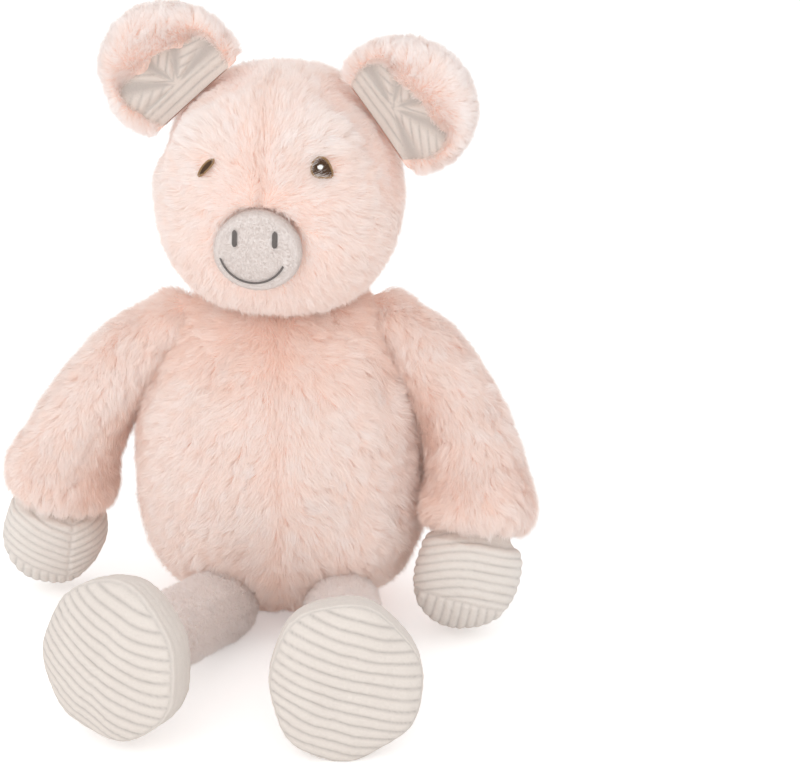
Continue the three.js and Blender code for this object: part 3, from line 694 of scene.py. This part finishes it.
def head_skin(inset, rings=110, around=160):
    profile = ball_profile(1, steps=rings)
    share = np.where(profile[:, 1] > 0, 2 / HEAD_FULLNESS, 1)[:, None]
    profile = np.sign(profile) * np.abs(profile) ** share
    skin = turned_skin(profile, around)
    skin.grid *= np.array(HEAD_HALF) - inset
    return skin


def by_ears(points):
    """1 beside the seam of an ear, 0 away from it, in the head's frame."""
    share = 0
    for label, side in SIDES.items():
        climb = math.radians(EARS[label]["climb"])
        out = np.array((side * math.cos(climb), 0, math.sin(climb)))
        seam = np.array((math.sin(climb), 0, -side * math.cos(climb)))
        apart = points - 50 * out - np.array((0, -8, 0))
        along = apart @ seam
        across = np.linalg.norm(apart - along[..., None] * seam, axis=-1)
        share = share + smooth(-across, -24, -8) * smooth(-np.abs(along), -34, -22)
    return share


def head_form():
    """The head's skin in its own frame, with a flat seat for the snout, and the distance from the snout."""
    skin = head_skin(SKIN_INSET)
    x, y, z = skin.axes()
    lie = z / HEAD_HALF[2]
    corner = (4 * lie**2 * (1 - lie**2)).clip(0, 1)
    full = np.where(z < 0, 4.2, 3.2) * corner + 1.6 * np.abs(x) / HEAD_HALF[0]
    beside = by_ears(skin.grid)
    full = full * (1 - beside) - 1.5 * beside
    seam = hill(x, 1.6) * smooth(z, -2, 6) * (y < 0)
    skin = skin.pushed(full + 0.5 * ripple(skin.grid, 30, 3) - 1.5 * seam)
    x, y, z = skin.axes()
    apart = np.hypot(x, (z + SNOUT_DROP) / SNOUT_HEIGHT_SHARE)
    seat = -(SNOUT_REACH - SNOUT_DEPTH - 0.3)
    behind = (apart < SNOUT_RADIUS + 0.4) & (y < seat)
    y[behind] = seat
    return skin, np.where(y < 0, apart, 99)


def build_head():
    skin, apart = head_form()
    x, y, z = skin.axes()
    field = np.stack([x, np.full_like(x, 12), (z + SNOUT_DROP)], axis=-1)
    field = unit(field) + np.stack([0.2 * x / 50, 0 * x, -0.55 - 0.4 * smooth(-z, -10, 30)], axis=-1)
    behind = smooth(y, -12, 22)[..., None]
    down = np.stack([0.4 * x / 50, 0.2 + 0 * x, 0 * x - 1], axis=-1)
    field = field * (1 - behind) + down * behind
    covered = smooth(apart, SNOUT_RADIUS - 0.5, SNOUT_RADIUS + 1.5)
    front = smooth(-y, 0, 15)
    brow = 0
    for label, side in SIDES.items():
        middle = np.mean(EYE_OUTLINES[label], axis=0)
        gap = np.hypot((x - middle[0] + 1.3 * side) / 5.2, (z - middle[1]) / 4.6)
        covered = covered * (1 - front * smooth(-gap, -1.2, -0.8))
        brow = brow + np.exp(-(((x - side * 25) / 13) ** 2 + ((z - middle[1] - 11) / 6.5) ** 2))
    skin_piece("head_skin", skin.moved(head_matrix()), FUR_SKIN, "head", "fur", "head_cover", "head_filling",
               fill=0.9)
    near = smooth(-apart, -34, -20)
    seam = front * hill(x, 3) * smooth(z, -2, 8)
    # Painted shade: warmer along the front seam, on the lower head and on the right side of the head, away
    # from the key light; paler on the brows.
    painted_shade = 0.22 * seam + 0.1 * smooth(-z, 5, 40) - 0.12 * brow + 0.06 * smooth(x, 15, 48) - 0.05
    long = (1 - 0.35 * near + 0.65 * brow) * (1 - 0.45 * by_ears(skin.grid))
    grow("head_fur", skin, field, FUR, "head", "fur", matrix=head_matrix(), weight=covered, long=long,
         shade=painted_shade, seed=20, **STRANDS["head"])
    return skin


def snout_profile():
    front = SNOUT_REACH
    rim = front - SNOUT_CROWN - SNOUT_EDGE
    flat = SNOUT_RADIUS - SNOUT_EDGE
    back = SNOUT_REACH - SNOUT_DEPTH
    points = [(0, back), (SNOUT_RADIUS - 2, back), (SNOUT_RADIUS, rim)]
    for angle in np.radians(np.linspace(15, 90, 6)):
        points.append((flat + SNOUT_EDGE * math.cos(angle), rim + SNOUT_EDGE * math.sin(angle)))
    points += [(flat * 0.6, front - SNOUT_CROWN * 0.35), (0, front)]
    return points


def snout_place():
    return head_matrix() @ Matrix.Translation((0, 0, -SNOUT_DROP)) @ rotation("X", 90)


def build_snout():
    profile = smooth_profile(snout_profile(), 90)
    skin = turned_skin(profile, 120)
    front = (profile[:, 1] > SNOUT_REACH - SNOUT_CROWN - SNOUT_EDGE)[:, None]
    ring = hill(profile[:, :1] - 0.88 * SNOUT_RADIUS, 0.55) * front
    skin = skin.pushed(-0.45 * ring)
    skin.grid[..., 1] *= SNOUT_HEIGHT_SHARE
    skin.grid[..., 0] *= 1.02 - 0.05 * skin.grid[..., 1] / SNOUT_RADIUS
    skin_piece("snout", skin.moved(snout_place()), SNOUT_SKIN, "head", "velour", "snout_cover", "snout_pad",
               fill=0.8)
    x, y, z = skin.axes()
    beside = [(x - side * NOSTRIL_SPACING / 2) / 0.6 for side in SIDES.values()]
    bar = np.minimum(*[np.hypot(across, y - NOSTRIL_RISE) for across in beside])
    arc = np.hypot(x - SMILE_SHIFT, y - SMILE_RISE)
    mouth = (np.abs(arc - SMILE_RADIUS) < 0.5) & (y < SMILE_RISE - 3)
    clear = smooth(bar, 2.6, 3.8) * np.where(mouth & (front > 0), 0.15, 1)
    sideways = np.stack([0.3 * x, y, 0 * z], axis=-1) - np.array([0, 6, 0])
    grow("snout_pile", skin, sideways, SNOUT_PILE, "head", "velour", matrix=snout_place(),
         weight=clear * (1 - 0.5 * ring), seed=25, **STRANDS["snout"])
    return skin


# Ears


def ear_matrix(label):
    ear = EARS[label]
    climb = math.radians(ear["climb"])
    out = Vector((SIDES[label] * math.cos(climb), 0, math.sin(climb)))
    reach = 1 / math.hypot(math.cos(climb) / HEAD_HALF[0], math.sin(climb) / HEAD_HALF[2])
    place = out * (reach + 0.3)
    place.y = ear["back"]
    turn = Vector((0, 0, 1)).rotation_difference(out)
    slant = Quaternion((1, 0, 0), math.radians(ear["slant"]))
    return head_matrix() @ Matrix.Translation(place) @ (turn @ slant).to_matrix().to_4x4()


def ear_lip(angle, label):
    """How far from the ear's middle the fur ends at the lining: flat at the crown and round at the sides."""
    up = np.maximum(np.sin(angle - math.radians(EAR_LIP_TILT[label])), 1e-6)
    return ((up / EAR_LIP_CROWN) ** 4 + EAR_LIP_SIDE**-4.0) ** -0.25


def gathered(x, height, front):
    """Points of the ear in its own frame, drawn flat towards the seam. Its face is -Y."""
    z = height + EAR_CHORD_OFFSET
    flat = EAR_PINCH_SHARE + (1 - EAR_PINCH_SHARE) * smooth(z, 0, EAR_PINCH_REACH)
    return np.stack([x, -front * flat, np.maximum(z, 0)], axis=-1)


def ear_bowl(label, around=140, steps=90):
    """An ear's furred skin, whose puffed crown curls over the front, and the share from back to lip."""
    back = [(0, -4), (17, -4), (25.5, -2), (28.6, 2)]
    side = back + [(28.4, 5.4), (27.2, 7.8), (25.6, 8.2), (24.4, 7), (23.6, 5), (22.9, 3), (12, 1), (0, 0)]
    crown = back + [(28.4, 7), (25.6, 11.8), (19.6, 13.4), (14, 12), (10.6, 8.4), (10.4, 4), (6, 1), (0, 0)]
    marked = [[(*point, min(i / 8, 1) * 0.01) for i, point in enumerate(line)] for line in (side, crown)]
    side, crown = (smooth_profile(line, steps) for line in marked)
    angle = circle(around)
    share = ((EAR_LIP_SIDE - ear_lip(angle, label)) / (EAR_LIP_SIDE - EAR_LIP_CROWN))[None, :, None]
    reach, front, mark = np.moveaxis(side[:, None] * (1 - share) + crown[:, None] * share, -1, 0)
    return Skin(gathered(reach * np.cos(angle), reach * np.sin(angle), front)), mark / 0.01


def ear_lining(label, around=150, steps=110):
    """The corduroy of an ear: a thin sheet with creases that fan out from a pinch above the seam."""
    angle = circle(around)
    lip = ear_lip(angle, label) + 1.4
    edge = np.stack([lip * np.cos(angle), np.maximum(lip * np.sin(angle) + EAR_CHORD_OFFSET, 0.3)], axis=-1)
    pinch = np.array(EAR_PINCH_PLACE)
    out = np.sin(np.linspace(0, math.pi, steps)) ** 0.8
    flat = pinch + out[:, None, None] * (edge - pinch)
    x, z = flat[..., 0], flat[..., 1]
    turn = np.degrees(np.arctan2(z - pinch[1], x - pinch[0]))
    apart = np.hypot(x - pinch[0], z - pinch[1])
    creases = EAR_CREASES[label]
    crease = sum(hill(turn - place, 11) for place in creases) * smooth(apart, 0.5, 5)
    panel = np.searchsorted(creases, turn)
    lean = np.radians(np.array(EAR_WALE_LEANS[label]))[panel]
    wale = x * np.sin(lean) + z * np.cos(lean)
    ridge = ribs(wale, np.stack([x, 0 * x, z], axis=-1), 3.7, 61)
    bowl = 2.2 + 2.6 * (np.hypot(x, z - EAR_CHORD_OFFSET) / EAR_LIP_SIDE) ** 2
    puff = 1.6 * smooth(apart, 1, 9) - 1.3 * hill(apart, 3)
    front = bowl + puff - 2.8 * crease + 0.7 * (ridge - 1)
    behind = np.arange(steps)[:, None] < steps // 2
    front = np.where(behind, bowl - 0.6, np.maximum(front, bowl - 0.1))
    skin = Skin(gathered(x, z - EAR_CHORD_OFFSET, front))
    skin.grid[..., 1] -= 0.5
    # Painted shade: darker between the wales and in the creases.
    return skin, np.maximum(1 - ridge, crease)


def build_ear(label):
    matrix = ear_matrix(label)
    local, mark = ear_bowl(label)
    local = local.pushed(0.5 * ripple(local.grid, 15, 62 + SIDES[label]) * smooth(local.grid[..., 2], 2, 10))
    body = f"ear_{label}"
    placed = local.moved(matrix)
    skin_piece(f"ear_skin_{label}", placed, FUR_SKIN, body, "fur", f"ear_outer_{label}", fill=0.5)
    x, y, z = local.axes()
    covered = smooth(-mark, -0.995, -0.96) * smooth(z, 0.3, 2.5)
    outward = np.stack([x, 0.2 * y, z - EAR_CHORD_OFFSET + 6], axis=-1)
    grow(f"ear_fur_{label}", local, outward, FUR, body, "fur", matrix=matrix, weight=covered,
         long=1 - 0.25 * smooth(mark, 0.75, 0.95), shade=0 * x - 0.2, seed=30 + SIDES[label],
         **STRANDS["ear"])
    lining, groove_shade = ear_lining(label)
    skin_piece(f"ear_corduroy_{label}", lining.moved(matrix), CORDUROY, body, "corduroy",
               f"ear_lining_{label}", groove_shade=groove_shade)


# Arms


def arm_matrix(label):
    arm, side = ARMS[label], SIDES[label]
    lift = Matrix.Rotation(math.radians(arm["lift"]), 4, Vector((0, -side, 0)))
    return Matrix.Translation(shoulder_place(side)) @ rotation("X", arm["swing"]) @ lift


def wrist_matrix(label):
    arm, side = ARMS[label], SIDES[label]
    level, down, lean = bowed_line(ARM_LENGTH - WRIST_INSET, side * arm["bend"], ARM_LENGTH)
    turn = rotation("Y", math.degrees(lean) + side * arm["wrist"])
    return arm_matrix(label) @ Matrix.Translation((float(level), 0, float(down))) @ turn


def build_arm(label):
    wrist = ARM_LENGTH - WRIST_INSET
    inset = SKIN_INSET - 1
    sleeve = [(radius - inset, wrist * share) for share, radius in ARM_RADII]
    root = ball_profile(ARM_ROOT_RADIUS, -90, 10, 8)
    hem = [(ARM_RADII[-1][1] - inset - 1.2, wrist + 0.6), (ARM_RADII[-1][1] - inset - 3, wrist + 1.6)]
    inside = [(WRIST_RADIUS + 0.6, wrist), (WRIST_RADIUS - 2, wrist - 8), (0, wrist - 14)]
    profile = smooth_profile([*root, *sleeve[:-1], *hem, *inside], 130)
    bend = SIDES[label] * ARMS[label]["bend"]
    skin = limb_skin(profile, bend, ARM_LENGTH).moved(arm_matrix(label))
    above = smooth(skin.normals()[..., 2], 0.1, 0.9)
    skin = skin.pushed(-4 * above * hill(profile[:, 1:], 14))
    nodes = [f"arm_cover_{label}", f"arm_filling_{label}", f"shoulder_filling_{label}"]
    skin_piece(f"arm_skin_{label}", skin, FUR_SKIN, f"arm_{label}", "fur", *nodes, fill=0.8)
    field = skin.along() + np.array([SIDES[label] * 0.1, 0, -0.35])
    station = profile[:, 1][:, None] + 0 * skin.grid[..., 0]
    order = np.arange(len(profile))[:, None] + 0 * station
    turning = order <= np.argmax(profile[:, 1])
    covered = turning * smooth(station, -14, -8)
    cuff = smooth(station, wrist - 14, wrist + 1)
    inner = smooth(-SIDES[label] * skin.normals()[..., 0], 0.1, 0.8)
    # Painted shade: warmer near the shoulder, on the inner side that faces the body, and towards the hand.
    shade = 0.1 * smooth(-station, -22, 4) + 0.26 * inner + 0.08 * smooth(station, 50, 95)
    grow(f"arm_fur_{label}", skin, field, FUR, f"arm_{label}", "fur",
         weight=covered.astype(float), long=1 + 0.1 * cuff, shade=shade, seed=40 + SIDES[label],
         **STRANDS["arm"])


def build_hand(label):
    hand = HANDS[label]
    root = ball_profile(WRIST_RADIUS - 0.4, -60, 20, 6)
    outline = [(HAND_RADIUS * across, HAND_LENGTH * along) for along, across in HAND_OUTLINE]
    profile = smooth_profile([(0, root[0][1]), *root, *outline, (0, HAND_LENGTH)], 170)
    local = limb_skin(profile, around=180)
    x, y, z = local.axes()
    corner = (2 * x * y / np.maximum(x**2 + y**2, 1e-6)) ** 2
    boxy = 1 + 0.055 * corner * smooth(-z, 8, 24)
    x *= 0.97 * boxy
    y *= HAND_DEPTH_SHARE * boxy
    beyond = np.maximum(x - hand["seam"], 0)
    sag = hand["sag"] * np.minimum(x - 6, 0) ** 2
    panel = -z - hand["slope"] * (x - beyond) - sag + hand["rise"] * beyond
    hem = hand["hem"] + hand["hem_slope"] * x + z
    low = hem < 0
    wale = np.where(low, x * 1.05 + 0.12 * hem * x / HAND_RADIUS, panel)
    ridge = ribs(wale, local.grid, 4.1, 63 + SIDES[label])
    seam = hill(hem, 0.9)
    seam = np.maximum(seam, hill(x - hand["seam"], 0.8) * (y < 0) * ~low)
    lumps = 0.7 * ripple(local.grid, 20, 65 + SIDES[label]) * smooth(-z, 6, 16)
    local = local.pushed(lumps + nubs(local.grid, 73) + 0.85 * (ridge - 1) * (1 - seam) - 0.7 * seam)
    skin = local.moved(wrist_matrix(label)).keep_above(CLEARANCE)
    # Painted shade: darker between the wales and along the seams.
    skin_piece(f"hand_{label}", skin, HAND_CORDUROY_PAINTED_LIGHT, f"hand_{label}", "corduroy", f"hand_cover_{label}",
               f"hand_filling_{label}", fill=0.7, groove_shade=np.maximum(1 - ridge, 0.4 * seam))


# Legs


def leg_matrix(label):
    leg = LEGS[label]
    return Matrix.Translation(leg["hip"]) @ rotation("Z", leg["yaw"]) @ rotation("X", -90 - leg["lift"])


def ankle_matrix(label):
    leg = LEGS[label]
    turn = rotation("X", leg["foot_tilt"]) @ rotation("Y", -leg["foot_yaw"])
    return leg_matrix(label) @ Matrix.Translation((0, 0, -LEG_LENGTH)) @ turn


def build_leg(label):
    inset = 0.8
    root = ball_profile(LEG_RADIUS - inset, -90, 0, 8)
    tube = [(radius - inset, share * LEG_LENGTH)
            for radius, share in ((LEG_RADIUS, 0.3), (LEG_RADIUS, 0.6), (ANKLE_RADIUS, 0.92))]
    end = [(radius, LEG_LENGTH + rise) for radius, rise in ball_profile(ANKLE_RADIUS - inset, 15, 90, 6)]
    profile = smooth_profile([*root, *tube, *end], 110)
    skin = limb_skin(profile).moved(leg_matrix(label)).keep_above(0.8)     # with room for the pile
    nodes = [f"leg_cover_{label}", f"leg_filling_{label}", f"hip_filling_{label}"]
    skin_piece(f"leg_{label}", skin, VELOUR, f"leg_{label}", "velour", *nodes, fill=0.8)
    grow(f"leg_pile_{label}", skin, skin.along(), VELOUR_PILE, f"leg_{label}", "velour",
         seed=50 + SIDES[label], **STRANDS["leg"])


def build_foot(label):
    dish = ANKLE_RADIUS * math.cos(math.radians(62))
    heel = [(0, dish / 2), (FOOT_HALF_WIDTH * 0.62, dish)]
    side = [(FOOT_HALF_WIDTH * a, FOOT_DEPTH * b) for a, b in ((0.9, 0.4), (0.99, 0.64), (1.01, 0.86))]
    rim = [(FOOT_HALF_WIDTH * 1.005, FOOT_DEPTH * 0.97)]
    crown = [(FOOT_HALF_WIDTH * a, FOOT_DEPTH + SOLE_CROWN * b)
             for a, b in ((0.955, 0.08), (0.86, 0.4), (0.6, 0.8), (0.3, 0.97), (0, 1))]
    profile = smooth_profile(heel + side + rim + crown, 200)
    local = limb_skin(profile, around=240)
    x, y, z = local.axes()
    y *= FOOT_HALF_HEIGHT / FOOT_HALF_WIDTH
    station = -z
    order = np.arange(len(profile))[:, None] + 0 * x
    seam_ring = np.argmin(np.hypot(profile[:, 0] - rim[0][0], profile[:, 1] - rim[0][1]))
    on_sole = order > seam_ring

    foot = FEET[label]
    across = x / FOOT_HALF_WIDTH
    bow = (foot["steep"] + foot["flat"]) / 2 * across - (foot["steep"] - foot["flat"]) / 4 * across**2
    sole = ribs(-y + FOOT_HALF_WIDTH * bow, local.grid, foot["pitch"], 67 + SIDES[label])
    side_wale = ribs(station - FOOT_DEPTH, local.grid, 4.3, 69 + SIDES[label])
    ridge = np.where(on_sole, sole, side_wale)
    seam = hill(order - seam_ring, 2)

    angle = np.arctan2(-y, x)
    uneven = 1 + foot["egg"] * np.sin(angle + math.radians(foot["egg_turn"]))
    for corners, size, turn in foot["corners"]:
        uneven = uneven + size * np.cos(corners * (angle - math.radians(turn)))
    x *= uneven
    y *= uneven
    lumps = 0.7 * ripple(local.grid, 24, 71 + SIDES[label]) * smooth(station, 8, 18)
    depth = np.where(on_sole, 0.95, 0.2)
    local = local.pushed(lumps + nubs(local.grid, 74) + depth * (ridge - 1) * (1 - seam) - 0.5 * seam)
    skin = local.moved(ankle_matrix(label)).keep_above(0.2)
    # Painted shade: darker between the wales and along the seam, less on the side band.
    groove_shade = np.maximum(np.where(on_sole, 1, 0.3) * (1 - ridge), 0.5 * seam)
    parts = {"foot_sole": (slice(seam_ring, None), (False, True)),
             "foot_gusset": (slice(0, seam_ring + 1), (True, False))}
    for part, (rings, closed) in parts.items():
        panel = Skin(skin.grid[rings], closed)
        nodes = [f"{part}_{label}"] + ([f"foot_filling_{label}"] if part == "foot_sole" else [])
        skin_piece(f"{part}_corduroy_{label}", panel, CORDUROY, f"foot_{label}", "corduroy", *nodes,
                   fill=0.85, groove_shade=groove_shade[rings])


# Tail


def build_tail():
    matrix = Matrix.Translation(TAIL_PLACE) @ rotation("X", 90 + TAIL_RISE)
    root = ball_profile(4.6, -90, 30, 6)
    outline = [(TAIL_RADIUS * across, TAIL_LENGTH * along)
               for along, across in ((0.35, 1), (0.7, 0.85), (0.95, 0.6))]
    profile = smooth_profile([*root, *outline, (0, TAIL_LENGTH)], 60)
    skin = limb_skin(profile, TAIL_BEND, TAIL_LENGTH, 40).moved(matrix)
    skin_piece("tail_velour", skin, VELOUR, "tail", "velour", "tail", fill=0.7)
    grow("tail_pile", skin, skin.along(), VELOUR_PILE, "tail", "velour", seed=80, **STRANDS["tail"])


# Face

STITCH_PITCH, THREAD_THICKNESS = 0.36, 0.42


def on_face(points, surface, lift):
    """Points [..., x and z] of the head's own front view laid on a skin, a little in front of it."""
    front = surface.grid[surface.normals()[..., 1] < -0.3]
    tree = kdtree.KDTree(len(front))
    for i, (x, _, z) in enumerate(front):
        tree.insert((x, 0, z), i)
    tree.balance()
    laid = []
    for x, z in points.reshape(-1, 2):
        found = tree.find_n((x, 0, z), 5)
        weights = np.array([1 / (distance + 0.1) for _, _, distance in found])
        depth = np.array([front[i][1] for _, i, _ in found])
        laid.append((x, (depth * weights).sum() / weights.sum() - lift, z))
    return np.array(laid).reshape(*points.shape[:-1], 3)


def stitch_rows(outline, lean, pitch):
    """The two ends of each satin stitch that fills an outline, laid at lean degrees from the Z direction."""
    lean = math.radians(lean)
    turn = np.array([[math.cos(lean), -math.sin(lean)], [math.sin(lean), math.cos(lean)]])
    points = np.asarray(outline, float) @ turn.T
    after = np.roll(points, -1, axis=0)
    rows = []
    for place in np.arange(points[:, 0].min() + 0.3 * pitch, points[:, 0].max(), pitch):
        crossing = (points[:, 0] - place) * (after[:, 0] - place) < 0
        a, b = points[crossing], after[crossing]
        heights = a[:, 1] + (b[:, 1] - a[:, 1]) * (place - a[:, 0]) / (b[:, 0] - a[:, 0])
        if len(heights) > 1:
            rows.append([(place, heights.min()), (place, heights.max())])
    return np.array(rows) @ turn


def satin(name, rows, surface, lift, crown, material, slot, *nodes, thickness=THREAD_THICKNESS):
    """An embroidered patch in the head's frame: a raised thread for each row, laid on the front of a skin."""
    share = np.linspace(0, 1, 9)
    flat = rows[:, :1] + (rows[:, 1:] - rows[:, :1]) * share[None, :, None]
    lines = on_face(flat, surface, lift)
    lines[..., 1] -= crown * (1 - (2 * share - 1) ** 4)
    radius = thickness / 2 * np.array([0.02, 0.75, 1, 1, 1, 1, 1, 0.75, 0.02])
    angle = circle(8)
    threads = []
    for line in lines:
        way = unit(np.gradient(line, axis=0))
        side = unit(np.cross((0, -1, 0), way))
        lifted = np.cross(way, side)
        ring = side[:, None] * np.cos(angle)[:, None] + lifted[:, None] * np.sin(angle)[:, None]
        threads.append(Skin(line[:, None] + ring * radius[:, None, None]).moved(head_matrix()))
    return dress(joined_piece(name, threads, material), "head", slot, *nodes)


def rounded_outline(points, steps=10):
    """A closed outline drawn smoothly through its points."""
    points = np.asarray(points, float)
    share = np.linspace(0, 1, steps, endpoint=False)[:, None]
    before, after, last = np.roll(points, 1, 0), np.roll(points, -1, 0), np.roll(points, -2, 0)
    parts = []
    for a, b, c, d in zip(before, points, after, last):
        parts.append(0.5 * (2 * b + (c - a) * share + (2 * a - 5 * b + 4 * c - d) * share**2
                            + (3 * b - a - 3 * c + d) * share**3))
    return np.concatenate(parts)


def line_rows(points, width, pitch, lean):
    """Short slanting stitches across a line."""
    gaps = np.concatenate([[0], np.cumsum(np.linalg.norm(np.diff(points, axis=0), axis=1))])
    places = np.arange(pitch / 2, gaps[-1], pitch)
    middle = np.stack([np.interp(places, gaps, points[:, i]) for i in (0, 1)], axis=-1)
    way = unit(np.gradient(middle, axis=0))
    lean = math.radians(lean)
    across = np.stack([-way[:, 1], way[:, 0]], axis=-1) * math.cos(lean) + way * math.sin(lean)
    return np.stack([middle - across * width / 2, middle + across * width / 2], axis=1)


def build_face(head, snout):
    snout_front = snout.moved(Matrix.Translation((0, 0, -SNOUT_DROP)) @ rotation("X", 90))
    end, half = NOSTRIL_HEIGHT / 2, NOSTRIL_WIDTH / 2
    bar = [(0, end), (half, end - 1), (half * 1.05, 0), (half, 1 - end),
           (0, -end), (-half, 1 - end), (-half * 1.05, 0), (-half, end - 1)]
    for label, side in SIDES.items():
        middle = np.array([side * NOSTRIL_SPACING / 2, NOSTRIL_RISE - SNOUT_DROP])
        rows = stitch_rows(middle + rounded_outline(bar), 82, STITCH_PITCH)
        name = f"nostril_stitches_{label}"
        satin(name, rows, snout_front, 0.55, 0.45, THREAD, "thread", f"nostril_{label}")
    sweep = np.radians(np.linspace(-90 - SMILE_HALF_ANGLE, -90 + SMILE_HALF_ANGLE, 60) + SMILE_TILT)
    arc = SMILE_RADIUS * np.stack([np.cos(sweep), np.sin(sweep)], axis=-1)
    smile = np.array((SMILE_SHIFT, SMILE_RISE - SNOUT_DROP)) + arc
    rows = line_rows(smile, 1.15, STITCH_PITCH, 35)
    satin("smile_stitches", rows, snout_front, 0.5, 0.35, THREAD, "thread", "mouth_line")

    for label, outline in EYE_OUTLINES.items():
        shape = rounded_outline(outline)
        rows = stitch_rows(shape, EYE_STITCH_LEANS[label], STITCH_PITCH)
        satin(f"eye_stitches_{label}", rows, head, 2.3, 0.7, EYE_THREAD, "eye_thread", f"eye_{label}",
              thickness=0.44)
        rows = line_rows(np.concatenate([shape, shape[:1]]), 0.9, 0.4, 20)
        satin(f"eye_rim_{label}", rows, head, 2.6, 0.5, RIM_THREAD, "eye_thread")
    spark = EYE_GLINT + 1.15 * np.stack([np.cos(circle(12)), np.sin(circle(12))], axis=-1)
    satin("eye_glint", stitch_rows(spark, 20, STITCH_PITCH), head, 3.3, 0.4, GLINT_THREAD, "eye_thread")


build_trunk()
head_front = build_head()
snout_skin = build_snout()
build_face(head_front, snout_skin)
for side_label in SIDES:
    build_ear(side_label)
    build_arm(side_label)
    build_hand(side_label)
    build_leg(side_label)
    build_foot(side_label)
build_tail()


# Stage, light and camera, in metres

CAMERA_TARGET = Vector((0.0525, 0, 0.1059))     # the camera stands where it shows the photograph's view
CAMERA_DISTANCE, CAMERA_ELEVATION = 1.1839, 20
LENS, SENSOR = 118.8, 36
FLOOR_COLOUR, FLOOR_GLOW = (0.93, 0.93, 0.93, 1), 0.34     # the glow is seen by the camera and lights nothing
WHITE, BLACK = (1, 1, 1, 1), (0, 0, 0, 1)
WORLD_LIGHT, WORLD_SEEN = 0.94, 1.0
LAMPS = {     # place, target, size, watts
    "key": ((-0.45, -1.15, 0.9), (0, 0, 0.12), 1.1, 3),
    "fill_right": ((0.4, -1.35, 0.15), (0, 0, 0.04), 0.9, 2.2),
    "fill_left": ((-0.7, -1.3, 0.06), (0, 0, 0.05), 0.9, 3),
}


def build_floor():
    material, tree = start_material("floor")
    seen = node(tree, "ShaderNodeLightPath").outputs["Is Camera Ray"]
    matt = node(tree, "ShaderNodeBsdfDiffuse", {"Color": FLOOR_COLOUR}).outputs[0]
    glow = node(tree, "ShaderNodeEmission", {"Color": WHITE, "Strength": FLOOR_GLOW}).outputs[0]
    dark = node(tree, "ShaderNodeEmission", {"Color": BLACK, "Strength": 0}).outputs[0]
    shown = node(tree, "ShaderNodeMixShader", {0: seen, 1: dark, 2: glow}).outputs[0]
    close_material(tree, node(tree, "ShaderNodeAddShader", {0: matt, 1: shown}))
    side = 6000     # millimetres, as for every mesh
    corners = [(-side, -side, 0), (side, -side, 0), (side, side, 0), (-side, side, 0)]
    make_piece("floor", corners, [[(0, 1, 2, 3)]], material)


def build_world():
    world = bpy.data.worlds.new("studio")
    world.use_nodes = True
    tree = world.node_tree
    tree.nodes.clear()
    seen = node(tree, "ShaderNodeLightPath").outputs["Is Camera Ray"]
    light, shown = (node(tree, "ShaderNodeBackground", {"Color": WHITE, "Strength": strength}).outputs[0]
                    for strength in (WORLD_LIGHT, WORLD_SEEN))
    mix = node(tree, "ShaderNodeMixShader", {0: seen, 1: light, 2: shown})
    node(tree, "ShaderNodeOutputWorld", {"Surface": mix.outputs[0]})
    bpy.context.scene.world = world


def link_facing(name, data, place, target):
    """Puts a lamp or camera at a place, turned to its target."""
    made = bpy.data.objects.new(name, data)
    made.location = place
    made.rotation_euler = (Vector(target) - Vector(place)).to_track_quat("-Z", "Y").to_euler()
    bpy.context.scene.collection.objects.link(made)
    return made


def add_lamp(name, place, target, size, watts):
    data = bpy.data.lights.new(name, "AREA")
    data.shape = "DISK"
    data.size = size
    data.energy = watts
    link_facing(name, data, place, target)


def build_camera():
    data = bpy.data.cameras.new("camera")
    data.lens, data.sensor_width = LENS, SENSOR
    elevation = math.radians(CAMERA_ELEVATION)
    place = CAMERA_TARGET + CAMERA_DISTANCE * Vector((0, -math.cos(elevation), math.sin(elevation)))
    bpy.context.scene.camera = link_facing("camera", data, place, CAMERA_TARGET)


build_floor()
build_world()
for lamp, settings in LAMPS.items():
    add_lamp(lamp, *settings)
build_camera()
bpy.context.scene.view_settings.view_transform = "Standard"
bpy.context.scene.cycles.max_bounces = 20         # pale fur is lit mostly by light that has met many strands
bpy.context.scene.cycles.diffuse_bounces = 16
